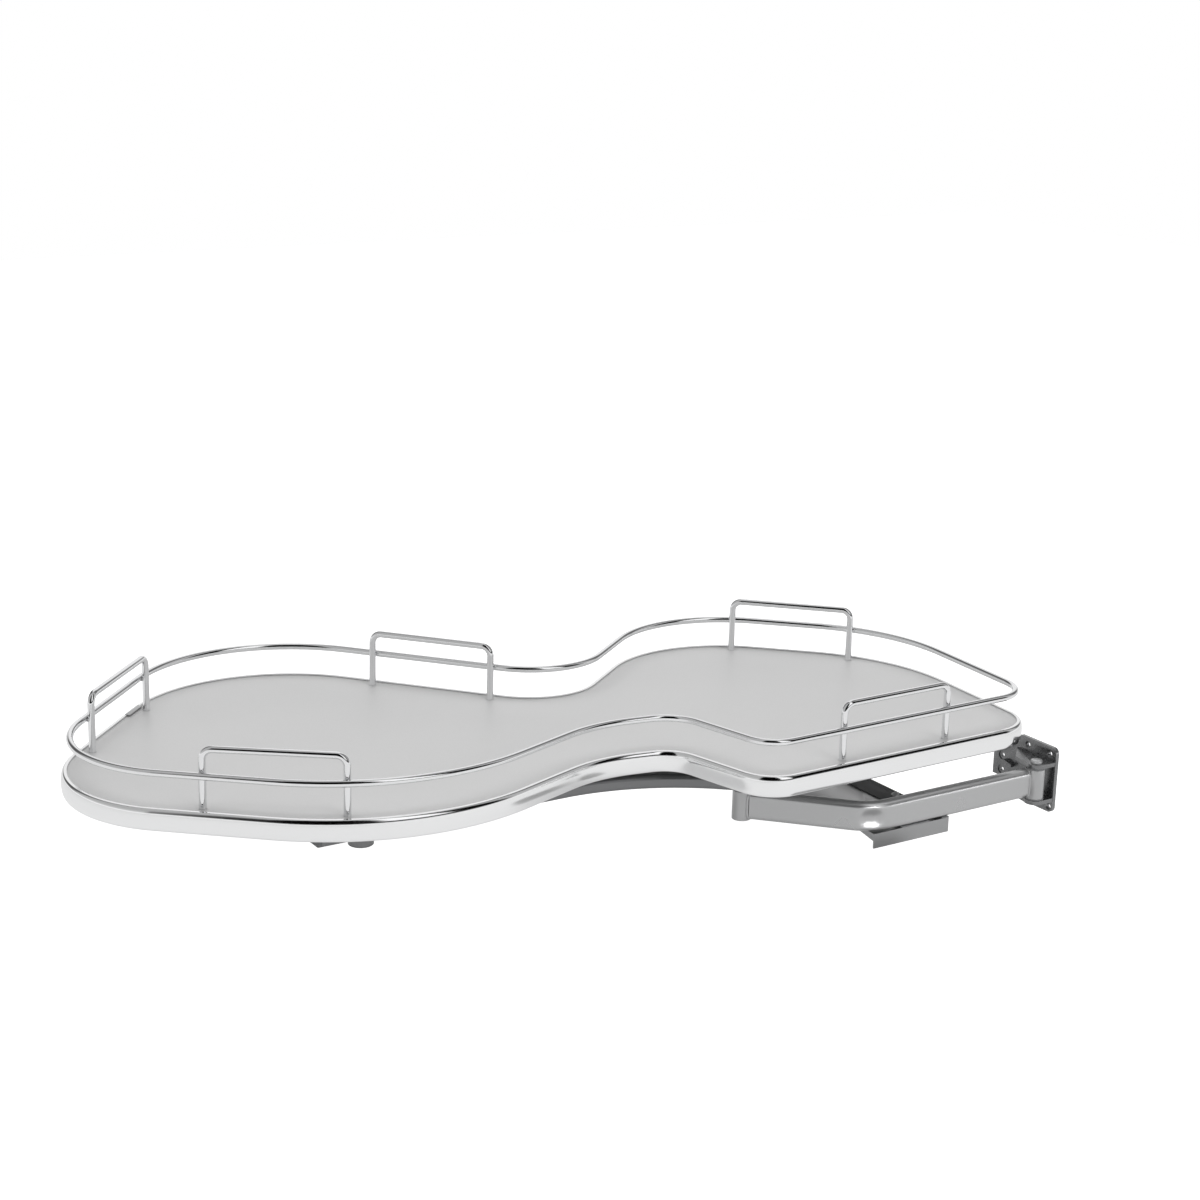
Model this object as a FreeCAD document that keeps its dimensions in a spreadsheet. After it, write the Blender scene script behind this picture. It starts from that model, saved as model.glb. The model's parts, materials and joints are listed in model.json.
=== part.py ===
import FreeCAD, Part
import math
import os
import Sketcher

from FreeCAD import Vector

# A pull-out tray for a blind corner cabinet: a wall bracket, a bent swing arm, a second
# bent arm above it, and a two-lobed tray with a chrome edge band and a chrome guard rail.
# X runs along the cabinet front (the tray lies towards -X), Y into the cabinet, Z up.
# The origin lies on the wall face of the bracket, straight beside the hinge pin and just
# above the middle of the swing arm. All sizes are in millimetres and degrees.

SIZES = {
    # wall bracket
    "bracket_plate": 4.0,
    "bracket_front": 10.0,
    "bracket_top": 33.0,
    "bracket_bottom": 33.5,
    "bracket_shoulder": 40.0,
    "bracket_slope_start": 48.0,
    "bracket_slope_top": 23.0,
    "bracket_rear": 77.0,
    "bracket_rear_top": 5.5,
    "bracket_rear_bottom": 18.0,
    "bracket_low_start": 30.0,
    "bracket_low_end": 62.0,
    "bracket_nose_round": 6.0,
    "ear_thickness": 4.0,
    "ear_reach_back": 46.0,
    "ear_shoulder": 25.0,
    "ear_shoulder_back": 24.0,
    "ear_radius": 9.5,
    "rib_height": 5.0,
    "rib_thickness": 2.5,
    "wall_hole_radius": 2.25,
    "wall_hole_sink": 1.2,
    "top_hole_level": 25.5,
    "top_hole_spacing": 31.0,
    "top_hole_setback": 1.0,
    "low_hole_level": 28.0,
    "low_hole_setback": 4.5,
    "rear_hole_place": 65.0,
    "rear_hole_level": 4.0,
    "rear_hole_spacing": 15.0,
    "rear_recess_radius": 4.6,
    "rear_recess_depth": 1.2,
    # pins, bushes and clips
    "pin_to_wall": 19.5,
    "pin_radius": 4.0,
    "pin_head_radius": 5.8,
    "pin_head_height": 3.0,
    "running_clearance": 0.05,
    "fit_clearance": 0.02,
    "bush_wall": 1.5,
    "bush_end_gap": 0.5,
    "bush_flange": 1.2,
    "clip_thickness": 1.0,
    "clip_rim": 2.2,
    "clip_groove": 0.8,
    "clip_slack": 0.1,
    "pin_tip": 1.2,
    "side_clearance": 0.3,
    # swing arm
    "arm_level": 1.5,
    "arm_setback": 4.5,
    "arm_start": 3.0,
    "arm_height": 28.0,
    "arm_width": 14.0,
    "arm_wall": 2.0,
    "arm_corner": 5.0,
    "arm_bend_radius": 45.0,
    "arm_leg_run": 84.4,
    "link_pivot_left": 286.0,
    "link_pivot_back": 93.5,
    "barrel_radius": 9.2,
    "hinge_barrel_top": 13.5,
    "hinge_barrel_bottom": 16.5,
    "link_barrel_drop": 1.0,
    "barrel_sink_depth": 5.0,
    "barrel_sink_wall": 1.6,
    "cap_thickness": 1.4,
    "weld_gap": 0.05,
    # stay plate under the swing arm
    "stay_right": 130.0,
    "stay_width": 91.0,
    "stay_front": 6.0,
    "stay_depth": 141.0,
    "stay_sheet": 1.5,
    "stay_lip": 13.0,
    "stay_side_lip": 5.8,
    "stay_side_length": 38.0,
    "spacer_height": 1.0,
    "spacer_long": 34.0,
    "spacer_short": 8.0,
    "spacer_inset": 24.0,
    "spacer_width": 12.0,
    "screw_radius": 2.0,
    "screw_head_radius": 4.0,
    "screw_head_height": 2.2,
    "stay_screw_spacing": 20.0,
    "stay_screw_length": 8.0,
    "strip_width": 27.0,
    "strip_height": 0.8,
    "strip_front": 12.0,
    "strip_length": 120.0,
    "strip_screw_place": 65.0,
    "strip_screw_spacing": 50.0,
    "strip_screw_inset": 7.0,
    # link arm
    "level_gap": 2.0,
    "link_height": 14.0,
    "link_width": 28.0,
    "link_wall": 1.5,
    "link_corner": 5.0,
    "link_bend_radius": 235.0,
    "link_leg_run": 79.5,
    "tray_pivot_left": 367.5,
    "tray_pivot_back": 66.5,
    "link_tail": 45.0,
    "link_head": 20.0,
    "plug_cap": 2.0,
    "plug_depth": 8.0,
    "plug_clearance": 0.1,
    "sleeve_radius": 8.0,
    "boss_radius": 11.6,
    "boss_drop": 7.7,
    "boss_dome": 2.2,
    "glide_radius": 6.0,
    "glide_first": 105.0,
    "glide_spacing": 80.0,
    # tray pivot
    "collar_space": 4.9,
    "collar_radius": 9.0,
    "pivot_plate_height": 3.0,
    "pivot_plate_length": 114.0,
    "pivot_plate_depth": 64.0,
    "pivot_plate_round": 4.0,
    "plate_screw_inset_x": 10.0,
    "plate_screw_inset_y": 9.0,
    "plate_screw_length": 12.0,
    # tray
    "board_thickness": 19.0,
    "board_overhang": 1.1,
    "band_clearance": 0.1,
    "band_foot": 2.6,
    "band_bulge": 5.6,
    "band_crest": 1.8,
    "band_lip_height": 1.2,
    "joiner_length": 30.0,
    "joiner_overlap": 3.4,
    "joiner_thickness": 0.8,
    "joiner_place": 58.0,
    "wire_radius": 3.3,
    "rail_inset": 3.7,
    "rail_height": 31.2,
    "loop_length": 125.0,
    "loop_height": 54.2,
    "loop_corner": 9.4,
    "post_depth": 8.0,
    "post_clearance": 0.1,
    "screw_end_gap": 0.3,
}

# Corners of the tray board, seen from above and drawn about the tray pivot: name, right of
# the pivot, behind the pivot, and the radius that rounds the corner.
TRAY_CORNERS = [
    ("left_front", 3.0, -109.0, 225.0),
    ("left_tip", -264.0, 124.0, 112.0),
    ("left_back", 28.0, 421.0, 149.0),
    ("waist_back", 287.0, 114.0, 74.0),
    ("right_back", 482.0, 262.0, 129.0),
    ("right_side", 670.0, 81.0, 177.0),
    ("right_front", 654.0, -150.0, 43.0),
    ("front_inner", 332.0, -153.0, 35.0),
    ("waist_hook", 305.0, -43.0, 37.0),
    ("waist_front", 227.0, -29.0, 142.0),
]

# Raised loops of the rail: name, the corner after which their straight edge starts, and how
# far their middle is shifted along the rail from the middle of that edge.
LOOPS = [
    ("loop_left_front", "left_front", -52.0),
    ("loop_left_back", "left_tip", 4.0),
    ("loop_waist_back", "left_back", 12.0),
    ("loop_right_back", "right_back", 7.5),
    ("loop_right_front", "right_front", 0.0),
]

doc = FreeCAD.newDocument("corner_organizer")
sheet = doc.addObject("Spreadsheet::Sheet", "Sizes")
UP = Vector(0, 0, 1)


def fill_sheet():
    """Write every driving size into the sheet, one row each, under its own alias."""
    rows = dict(SIZES)
    for name, right, behind, radius in TRAY_CORNERS:
        rows[name + "_right"] = right
        rows[name + "_behind"] = behind
        rows[name + "_radius"] = radius
    for name, _, shift in LOOPS:
        rows[name + "_shift"] = shift
    for row, (name, value) in enumerate(rows.items(), start=1):
        sheet.set("A%d" % row, name)
        sheet.set("B%d" % row, repr(value))
        sheet.setAlias("B%d" % row, name)
    doc.recompute()


class Size:
    """A size with its value now and the sheet expression that gives it."""

    def __init__(self, value, text):
        self.value = value
        self.text = text

    def __add__(self, other):
        return join(self, other, "+", lambda a, b: a + b)

    def __sub__(self, other):
        return join(self, other, "-", lambda a, b: a - b)

    def __mul__(self, other):
        return join(self, other, "*", lambda a, b: a * b)

    def __rmul__(self, other):
        return join(other, self, "*", lambda a, b: a * b)

    def __truediv__(self, other):
        return join(self, other, "/", lambda a, b: a / b)

    def __neg__(self):
        return join(0.0, self, "-", lambda a, b: a - b)


def as_size(number):
    """A plain number as a size."""
    return number if isinstance(number, Size) else Size(float(number), repr(float(number)))


def join(left, right, sign, work):
    """Two sizes joined by an arithmetic sign."""
    left, right = as_size(left), as_size(right)
    return Size(work(left.value, right.value), "(%s %s %s)" % (left.text, sign, right.text))


def size(alias):
    """The size that the sheet keeps under this alias."""
    return Size(float(sheet.get(alias)), "Sizes." + alias)


def bind(item, **sizes):
    """Tie properties of an object to the sheet; x, y and z name its place."""
    for name, value in sizes.items():
        path = "Placement.Base." + name if name in ("x", "y", "z") else name
        item.setExpression(path, as_size(value).text)
    return item


def cylinder(name, x, y, z, radius, height):
    """An upright cylinder that stands on z."""
    item = doc.addObject("Part::Cylinder", name)
    return bind(item, x=x, y=y, z=z, Radius=radius, Height=height)


def cone(name, x, y, z, low_radius, high_radius, height):
    """An upright cone that stands on z."""
    item = doc.addObject("Part::Cone", name)
    return bind(item, x=x, y=y, z=z, Radius1=low_radius, Radius2=high_radius, Height=height)


def box(name, x, y, z, length, width, height):
    """A box from its lowest corner."""
    item = doc.addObject("Part::Box", name)
    return bind(item, x=x, y=y, z=z, Length=length, Width=width, Height=height)


def fuse(name, *items):
    """Several solids joined into one."""
    item = doc.addObject("Part::MultiFuse", name)
    item.Shapes = list(items)
    item.Refine = True
    return item


def cut(name, base, *tools):
    """A solid with one or more others taken out of it."""
    item = doc.addObject("Part::Cut", name)
    item.Base = base
    item.Tool = tools[0] if len(tools) == 1 else gather(name + "_tools", *tools)
    return item


def gather(name, *items):
    """Like pieces kept side by side as separate solids."""
    item = doc.addObject("Part::Compound", name)
    item.Links = list(items)
    return item


def made(name, shape):
    """A piece whose shape is worked out from the sheet below."""
    item = doc.addObject("Part::Feature", name)
    item.Shape = shape
    return item


def sketch_on(body, name, role):
    """An empty sketch on one of the body's own origin planes."""
    sketch = body.newObject("Sketcher::SketchObject", name)
    plane = [item for item in body.Origin.OriginFeatures if item.Role == role][0]
    sketch.AttachmentSupport = [(plane, "")]
    sketch.MapMode = "FlatFace"
    return sketch


def tie(sketch, kind, item, end, value):
    """Hold one point of a sketch at a distance from the sketch's origin."""
    value = as_size(value)
    index = sketch.addConstraint(Sketcher.Constraint(kind, -1, 1, item, end, value.value))
    sketch.setExpression("Constraints[%d]" % index, value.text)


def tie_radius(sketch, item, value):
    """Hold the radius of an arc or a circle."""
    value = as_size(value)
    index = sketch.addConstraint(Sketcher.Constraint("Radius", item, value.value))
    sketch.setExpression("Constraints[%d]" % index, value.text)


def draw_polygon(sketch, corners):
    """A closed polygon with every corner tied to the sheet."""
    points = [Vector(as_size(u).value, as_size(v).value, 0) for u, v in corners]
    count = len(points)
    for i in range(count):
        sketch.addGeometry(Part.LineSegment(points[i], points[(i + 1) % count]), False)
    for i in range(count):
        sketch.addConstraint(Sketcher.Constraint("Coincident", i, 2, (i + 1) % count, 1))
    for i, (u, v) in enumerate(corners):
        tie(sketch, "DistanceX", i, 1, u)
        tie(sketch, "DistanceY", i, 1, v)


def draw_circles(sketch, centres, radius):
    """Circles of one radius with every centre tied to the sheet."""
    for i, (u, v) in enumerate(centres):
        middle = Vector(as_size(u).value, as_size(v).value, 0)
        sketch.addGeometry(Part.Circle(middle, UP, as_size(radius).value), False)
        tie_radius(sketch, i, radius)
        tie(sketch, "DistanceX", i, 3, u)
        tie(sketch, "DistanceY", i, 3, v)


def draw_bend(sketch, start, corner, end, radius):
    """A line, an arc and a line: the way from start to end round one corner."""
    here, turn, there = [Vector(as_size(u).value, as_size(v).value, 0) for u, v in (start, corner, end)]
    first, centre, last = corner_arc(here, turn, there, as_size(radius).value)
    left_turn = (turn - here).cross(there - turn).z > 0
    add_arc = add_arc_from(sketch, centre, first if left_turn else last, last if left_turn else first)
    come_in = sketch.addGeometry(Part.LineSegment(here, first), False)
    go_out = sketch.addGeometry(Part.LineSegment(last, there), False)
    mark = sketch.addGeometry(Part.Point(turn), True)
    sketch.addConstraint([
        Sketcher.Constraint("Tangent", come_in, 2, add_arc, 1 if left_turn else 2),
        Sketcher.Constraint("Tangent", go_out, 1, add_arc, 2 if left_turn else 1),
        Sketcher.Constraint("PointOnObject", mark, 1, come_in),
        Sketcher.Constraint("PointOnObject", mark, 1, go_out),
    ])
    tie_radius(sketch, add_arc, radius)
    for item, end_index, (u, v) in ((come_in, 1, start), (mark, 1, corner), (go_out, 2, end)):
        tie(sketch, "DistanceX", item, end_index, u)
        tie(sketch, "DistanceY", item, end_index, v)


def draw_rounded(sketch, corners):
    """A closed outline of straight lines with a tangent arc of its own radius at each corner."""
    points = [Vector(as_size(u).value, as_size(v).value, 0) for u, v, _ in corners]
    count = len(points)
    radii = fitting_radii(points, [as_size(radius).value for _, _, radius in corners])
    arcs = []
    for i in range(count):
        arcs.append(corner_arc(points[i - 1], points[i], points[(i + 1) % count], radii[i]))
    for i in range(count):
        sketch.addGeometry(Part.LineSegment(arcs[i][2], arcs[(i + 1) % count][0]), False)
    for i, (u, v, radius) in enumerate(corners):
        first, centre, last = arcs[i]
        left_turn = (first - centre).cross(last - centre).z > 0
        arc = add_arc_from(sketch, centre, first if left_turn else last, last if left_turn else first)
        mark = sketch.addGeometry(Part.Point(points[i]), True)
        before = (i - 1) % count
        sketch.addConstraint([
            Sketcher.Constraint("Tangent", before, 2, arc, 1 if left_turn else 2),
            Sketcher.Constraint("Tangent", i, 1, arc, 2 if left_turn else 1),
            Sketcher.Constraint("PointOnObject", mark, 1, before),
            Sketcher.Constraint("PointOnObject", mark, 1, i),
        ])
        tie_radius(sketch, arc, radius if radii[i] == as_size(radius).value else radii[i])
        tie(sketch, "DistanceX", mark, 1, u)
        tie(sketch, "DistanceY", mark, 1, v)


def add_arc_from(sketch, centre, start, end):
    """An arc that runs counter-clockwise from start to end."""
    first = math.atan2(start.y - centre.y, start.x - centre.x)
    last = math.atan2(end.y - centre.y, end.x - centre.x)
    if last < first:
        last += 2 * math.pi
    radius = (start - centre).Length
    return sketch.addGeometry(Part.ArcOfCircle(Part.Circle(centre, UP, radius), first, last), False)


def corner_arc(before, here, after, radius):
    """Start, centre and end of the arc that rounds a corner."""
    back, ahead = (before - here).normalize(), (after - here).normalize()
    half = back.getAngle(ahead) / 2
    reach = radius / math.tan(half)
    centre = here + (back + ahead).normalize() * (radius / math.sin(half))
    return here + back * reach, centre, here + ahead * reach


def fitting_radii(points, radii):
    """The radii of a closed outline, each kept small enough for the straight sides beside it."""
    count = len(points)
    reaches = []
    for i in range(count):
        back, ahead = points[i - 1] - points[i], points[(i + 1) % count] - points[i]
        reaches.append(radii[i] / math.tan(back.getAngle(ahead) / 2))
    limits = [1.0] * count
    for i in range(count):
        after = (i + 1) % count
        share = 0.98 * (points[after] - points[i]).Length / (reaches[i] + reaches[after])
        limits[i] = min(limits[i], share)
        limits[after] = min(limits[after], share)
    return [radius * limit for radius, limit in zip(radii, limits)]


def rounded_loop(corners, offset):
    """Edges of a closed clockwise outline with rounded corners, moved outwards by an offset."""
    points = [Vector(x, y, 0) for x, y, _ in corners]
    radii = fitting_radii(points, [radius for _, _, radius in corners])
    count = len(points)
    arcs = []
    for i in range(count):
        first, centre, last = corner_arc(points[i - 1], points[i], points[(i + 1) % count], radii[i])
        convex = (first - centre).cross(last - centre).z < 0
        grown = radii[i] + (offset if convex else -offset)
        middle = centre + (points[i] - centre).normalize() * grown
        ends = [centre + (point - centre).normalize() * grown for point in (first, last)]
        arcs.append((ends[0], middle, ends[1]))
    edges = []
    for i in range(count):
        edges.append(Part.Arc(*arcs[i]).toShape())
        edges.append(Part.LineSegment(arcs[i][2], arcs[(i + 1) % count][0]).toShape())
    return edges


def pad(body, sketch, length, reverse=False):
    """Give a sketch a thickness."""
    item = body.newObject("PartDesign::Pad", sketch.Name + "_pad")
    item.Profile = sketch
    item.Reversed = reverse
    return bind(item, Length=length)


def drill(body, sketch, length=None):
    """Take a sketch out of the body, right through it or to a depth below the sketch."""
    item = body.newObject("PartDesign::Pocket", sketch.Name + "_pocket")
    item.Profile = sketch
    if length is None:
        item.Type = "ThroughAll"
        item.Midplane = True
        return item
    return bind(item, Length=length)


def lift(sketch, height):
    """Move a sketch along its own normal."""
    sketch.setExpression("AttachmentOffset.Base.z", as_size(height).text)


def dress_edges(body, kind, wanted, amount):
    """Round or chamfer the edges of the body's last feature that a test picks."""
    doc.recompute()
    base = body.Tip
    names = ["Edge%d" % (i + 1) for i, edge in enumerate(base.Shape.Edges) if wanted(edge)]
    item = body.newObject("PartDesign::" + kind, base.Name + "_" + kind.lower())
    item.Base = (base, names)
    item.setExpression("Radius" if kind == "Fillet" else "Size", amount.text)
    return item


def small_rim(axis, level):
    """A test that picks the rims of screw holes on one face."""
    def wanted(edge):
        spot = edge.CenterOfMass
        place = spot.x if axis == "x" else spot.z
        return hasattr(edge.Curve, "Radius") and abs(place - level) < 0.01 and edge.Curve.Radius < 3
    return wanted


def tube_body(name, start, corner, end, bend_radius, width, low, high, round_radius, wall):
    """A hollow tube with rounded edges along a level way that starts along X."""
    body = doc.addObject("PartDesign::Body", name)
    way = sketch_on(body, name + "_way", "XY_Plane")
    draw_bend(way, start, corner, end, bend_radius)
    for kind, inset in (("AdditivePipe", as_size(0.0)), ("SubtractivePipe", wall)):
        section = sketch_on(body, "%s_section_%s" % (name, kind), "YZ_Plane")
        lift(section, start[0])
        side = width / 2 - inset
        corner_radius = round_radius - inset
        draw_rounded(section, [
            (start[1] - side, low + inset, corner_radius),
            (start[1] - side, high - inset, corner_radius),
            (start[1] + side, high - inset, corner_radius),
            (start[1] + side, low + inset, corner_radius),
        ])
        pipe = body.newObject("PartDesign::" + kind, "%s_%s" % (name, kind))
        pipe.Profile = section
        pipe.Spine = (way, [])
    return body


fill_sheet()

# Levels
arm_top = size("arm_height") / 2 - size("arm_level")
arm_bottom = arm_top - size("arm_height")
far_barrel_low = arm_bottom - size("link_barrel_drop")
link_bottom = arm_top + size("level_gap")
link_top = link_bottom + size("link_height")
plate_bottom = link_top + size("collar_space")
board_bottom = plate_bottom + size("pivot_plate_height")
board_top = board_bottom + size("board_thickness")
barrel_high = size("hinge_barrel_top")
barrel_low = -size("hinge_barrel_bottom")
upper_ear = barrel_high + size("bush_flange") + size("side_clearance")
lower_ear = barrel_low - size("bush_flange") - size("side_clearance")

# Pivot axes seen from above
pin_x = -size("pin_to_wall")
pin_y = as_size(0.0)
link_x = pin_x - size("link_pivot_left")
link_y = pin_y + size("link_pivot_back")
arm_y = pin_y + size("arm_setback")
tray_x = link_x - size("tray_pivot_left")
tray_y = link_y + size("tray_pivot_back")

# What turns on a pin, and what is fixed on one
bore = size("pin_radius") + size("running_clearance")
bush_outer = bore + size("bush_wall")
bush_seat = bush_outer + size("fit_clearance")
pin_seat = size("pin_radius") + size("fit_clearance")
screw_hole = size("screw_radius") + size("fit_clearance")
screw_sink = size("screw_head_radius") - size("screw_radius")


def hinge_bracket():
    """The cast wall bracket: a plate with two ears, a rear foot, a rib and screw holes."""
    body = doc.addObject("PartDesign::Body", "hinge_bracket")
    plate = sketch_on(body, "bracket_outline", "YZ_Plane")
    draw_polygon(plate, [
        (-size("bracket_front"), -size("bracket_bottom")),
        (-size("bracket_front"), size("bracket_top")),
        (size("bracket_shoulder"), size("bracket_top")),
        (size("bracket_slope_start"), size("bracket_slope_top")),
        (size("bracket_rear"), size("bracket_rear_top")),
        (size("bracket_rear"), -size("bracket_rear_bottom")),
        (size("bracket_low_end"), -size("bracket_rear_bottom")),
        (size("bracket_low_start"), -size("bracket_bottom")),
    ])
    pad(body, plate, size("bracket_plate"), reverse=True)
    nose = -size("bracket_front").value
    levels = (size("bracket_top").value, -size("bracket_bottom").value)

    def at_nose(edge):
        spot = edge.CenterOfMass
        across = abs(edge.tangentAt(edge.FirstParameter).x) > 0.99
        return across and abs(spot.y - nose) < 0.01 and min(abs(spot.z - level) for level in levels) < 0.01

    dress_edges(body, "Fillet", at_nose, size("bracket_nose_round"))
    root = -size("bracket_plate") / 2
    side = size("ear_radius")
    for name, level in (("upper_ear", upper_ear), ("lower_ear", lower_ear - size("ear_thickness"))):
        arm = sketch_on(body, name, "XY_Plane")
        lift(arm, level)
        draw_polygon(arm, [
            (root, pin_y - side),
            (pin_x, pin_y - side),
            (pin_x - 0.84 * side, pin_y + 0.52 * side),
            (-size("ear_shoulder"), size("ear_shoulder_back")),
            (root, size("ear_reach_back")),
        ])
        pad(body, arm, size("ear_thickness"))
        end = sketch_on(body, name + "_end", "XY_Plane")
        lift(end, level)
        draw_circles(end, [(pin_x, pin_y)], side)
        pad(body, end, size("ear_thickness"))
    rib = sketch_on(body, "foot_rib", "YZ_Plane")
    rib_end = size("rear_hole_place") - size("rear_recess_radius") - size("rib_thickness")
    draw_polygon(rib, [
        (size("ear_reach_back"), -size("rib_thickness")),
        (size("ear_reach_back"), as_size(0.0)),
        (rib_end, size("rib_thickness")),
        (rib_end, as_size(0.0)),
    ])
    pad(body, rib, size("bracket_plate") + size("rib_height"), reverse=True)
    first = -size("top_hole_setback")
    front = sketch_on(body, "front_holes", "YZ_Plane")
    draw_circles(front, [
        (first, size("top_hole_level")),
        (first + size("top_hole_spacing"), size("top_hole_level")),
        (-size("low_hole_setback"), -size("low_hole_level")),
    ], size("wall_hole_radius"))
    drill(body, front)
    dress_edges(body, "Chamfer", small_rim("x", -size("bracket_plate").value), size("wall_hole_sink"))
    rear_spots = [
        (size("rear_hole_place"), size("rear_hole_level")),
        (size("rear_hole_place"), size("rear_hole_level") - size("rear_hole_spacing")),
    ]
    rear = sketch_on(body, "rear_holes", "YZ_Plane")
    draw_circles(rear, rear_spots, size("wall_hole_radius"))
    drill(body, rear)
    recess = sketch_on(body, "rear_recesses", "YZ_Plane")
    lift(recess, size("rear_recess_depth") - size("bracket_plate"))
    draw_circles(recess, rear_spots, size("rear_recess_radius"))
    drill(body, recess, size("rear_recess_depth") + size("bracket_plate"))
    eye = sketch_on(body, "pin_eye", "XY_Plane")
    draw_circles(eye, [(pin_x, pin_y)], pin_seat)
    drill(body, eye)


def grooved_pin(name, x, y, high, clip_low):
    """A round pin that ends below the groove of its clip."""
    low = clip_low - size("pin_tip")
    radius, height = size("pin_radius"), size("clip_thickness")
    groove = cut(
        name + "_groove",
        cylinder(name + "_groove_rim", x, y, clip_low, radius + 1, height),
        cylinder(name + "_groove_core", x, y, clip_low, radius - size("clip_groove"), height),
    )
    return cut(name, cylinder(name + "_shaft", x, y, low, radius, high - low), groove)


def retaining_clip(name, x, y, groove_low):
    """A flat spring clip with an open side, seated in a pin's groove."""
    slack = size("clip_slack")
    inner = size("pin_radius") - size("clip_groove") + slack
    outer = size("pin_radius") + size("clip_rim")
    disc = cylinder(name + "_disc", x, y, groove_low + slack, outer, size("clip_thickness") - 2 * slack)
    eye = cylinder(name + "_eye", x, y, groove_low, inner, size("clip_thickness"))
    mouth = box(name + "_mouth", x - inner, y, groove_low, 2 * inner, outer, size("clip_thickness"))
    return cut(name, disc, fuse(name + "_opening", eye, mouth))


def bush_pair(name, x, y, low_seat, high_seat, low_rim, high_rim):
    """Two flanged bushes pushed into the ends of one bore."""
    flange = size("bush_flange")
    length = (high_seat - low_seat) / 2 - size("bush_end_gap")
    halves = []
    for side, rim, flange_low, sleeve_low in (
        ("low", low_rim, low_seat - flange, low_seat),
        ("top", high_rim, high_seat, high_seat - length),
    ):
        part = "%s_%s" % (name, side)
        whole = fuse(
            part + "_whole",
            cylinder(part + "_flange", x, y, flange_low, rim, flange),
            cylinder(part + "_sleeve", x, y, sleeve_low, bush_outer, length),
        )
        hole_low = low_seat - flange - 1
        halves.append(cut(part, whole, cylinder(part + "_hole", x, y, hole_low, bore, high_seat - hole_low + 5)))
    return gather(name, *halves)


def hinge():
    """The domed pin that hangs in the bracket's ears, its clip, and the barrel that turns on it."""
    ear_top = upper_ear + size("ear_thickness")
    groove_low = lower_ear - size("ear_thickness") - size("clip_thickness") + size("clip_slack")
    body = grooved_pin("hinge_pin_body", pin_x, pin_y, ear_top, groove_low)
    dome = doc.addObject("Part::Ellipsoid", "hinge_pin_dome")
    rim = size("pin_head_radius")
    bind(dome, x=pin_x, y=pin_y, z=ear_top, Radius1=size("pin_head_height"), Radius2=rim, Radius3=rim)
    dome.Angle1 = 0
    fuse("hinge_pin", body, dome)
    retaining_clip("hinge_pin_clip", pin_x, pin_y, groove_low)
    height = barrel_high - barrel_low
    cut("arm_hinge_barrel",
        cylinder("hinge_barrel_outside", pin_x, pin_y, barrel_low, size("barrel_radius"), height),
        cylinder("hinge_barrel_bore", pin_x, pin_y, barrel_low, bush_seat, height))
    flange = size("barrel_radius") - size("weld_gap")
    bush_pair("hinge_bushes", pin_x, pin_y, barrel_low, barrel_high, flange, flange)


def stay_screw_places():
    """Places along X of the two screws that hold the stay plate to the arm."""
    middle = -size("stay_right") - size("spacer_inset") - size("spacer_long") / 2
    half = size("stay_screw_spacing") / 2
    return [middle - half, middle + half]


def swing_arm():
    """The bent tube and its barrel under the link arm."""
    start = (pin_x - size("arm_start"), arm_y)
    body = tube_body(
        "arm_tube", start, (link_x + size("arm_leg_run"), arm_y), (link_x, link_y),
        size("arm_bend_radius"), size("arm_width"), arm_bottom, arm_top, size("arm_corner"), size("arm_wall"))
    room = sketch_on(body, "barrel_room", "XY_Plane")
    draw_circles(room, [(pin_x, pin_y), (link_x, link_y)], size("barrel_radius") + size("weld_gap"))
    drill(body, room)
    holes = sketch_on(body, "arm_screw_holes", "XY_Plane")
    lift(holes, arm_bottom + size("arm_wall") + 1)
    draw_circles(holes, [(x, arm_y) for x in stay_screw_places()], screw_hole)
    drill(body, holes, size("arm_wall") + 2)
    sink = size("barrel_radius") - size("barrel_sink_wall")
    rim = sink - size("fit_clearance")
    ledge = far_barrel_low + size("barrel_sink_depth")
    height = arm_top - far_barrel_low
    cut("arm_link_barrel",
        cylinder("link_barrel_outside", link_x, link_y, far_barrel_low, size("barrel_radius"), height),
        cylinder("link_barrel_bore", link_x, link_y, far_barrel_low, bush_seat, height),
        cylinder("link_barrel_sink", link_x, link_y, far_barrel_low, sink, size("barrel_sink_depth")))
    bush_pair("link_bushes", link_x, link_y, ledge, arm_top, rim, size("barrel_radius") - size("weld_gap"))
    cylinder("arm_barrel_cap", link_x, link_y, far_barrel_low, rim, size("cap_thickness"))


def pan_screw(name, x, y, seat, length, upward):
    """A screw with a low domed head on a seat; its shank points up or down."""
    head = doc.addObject("Part::Ellipsoid", name + "_head")
    rim = size("screw_head_radius")
    bind(head, x=x, y=y, z=seat, Radius1=size("screw_head_height"), Radius2=rim, Radius3=rim)
    if upward:
        head.Angle2 = 0
    else:
        head.Angle1 = 0
    low = seat if upward else seat - length
    return fuse(name, head, cylinder(name + "_shank", x, y, low, size("screw_radius"), length))


def flat_screw(name, x, y, seat, length):
    """A countersunk screw whose flat head looks down from a seat."""
    head = cone(name + "_head", x, y, seat, size("screw_head_radius"), size("screw_radius"), screw_sink)
    return fuse(name, head, cylinder(name + "_shank", x, y, seat, size("screw_radius"), length))


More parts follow.
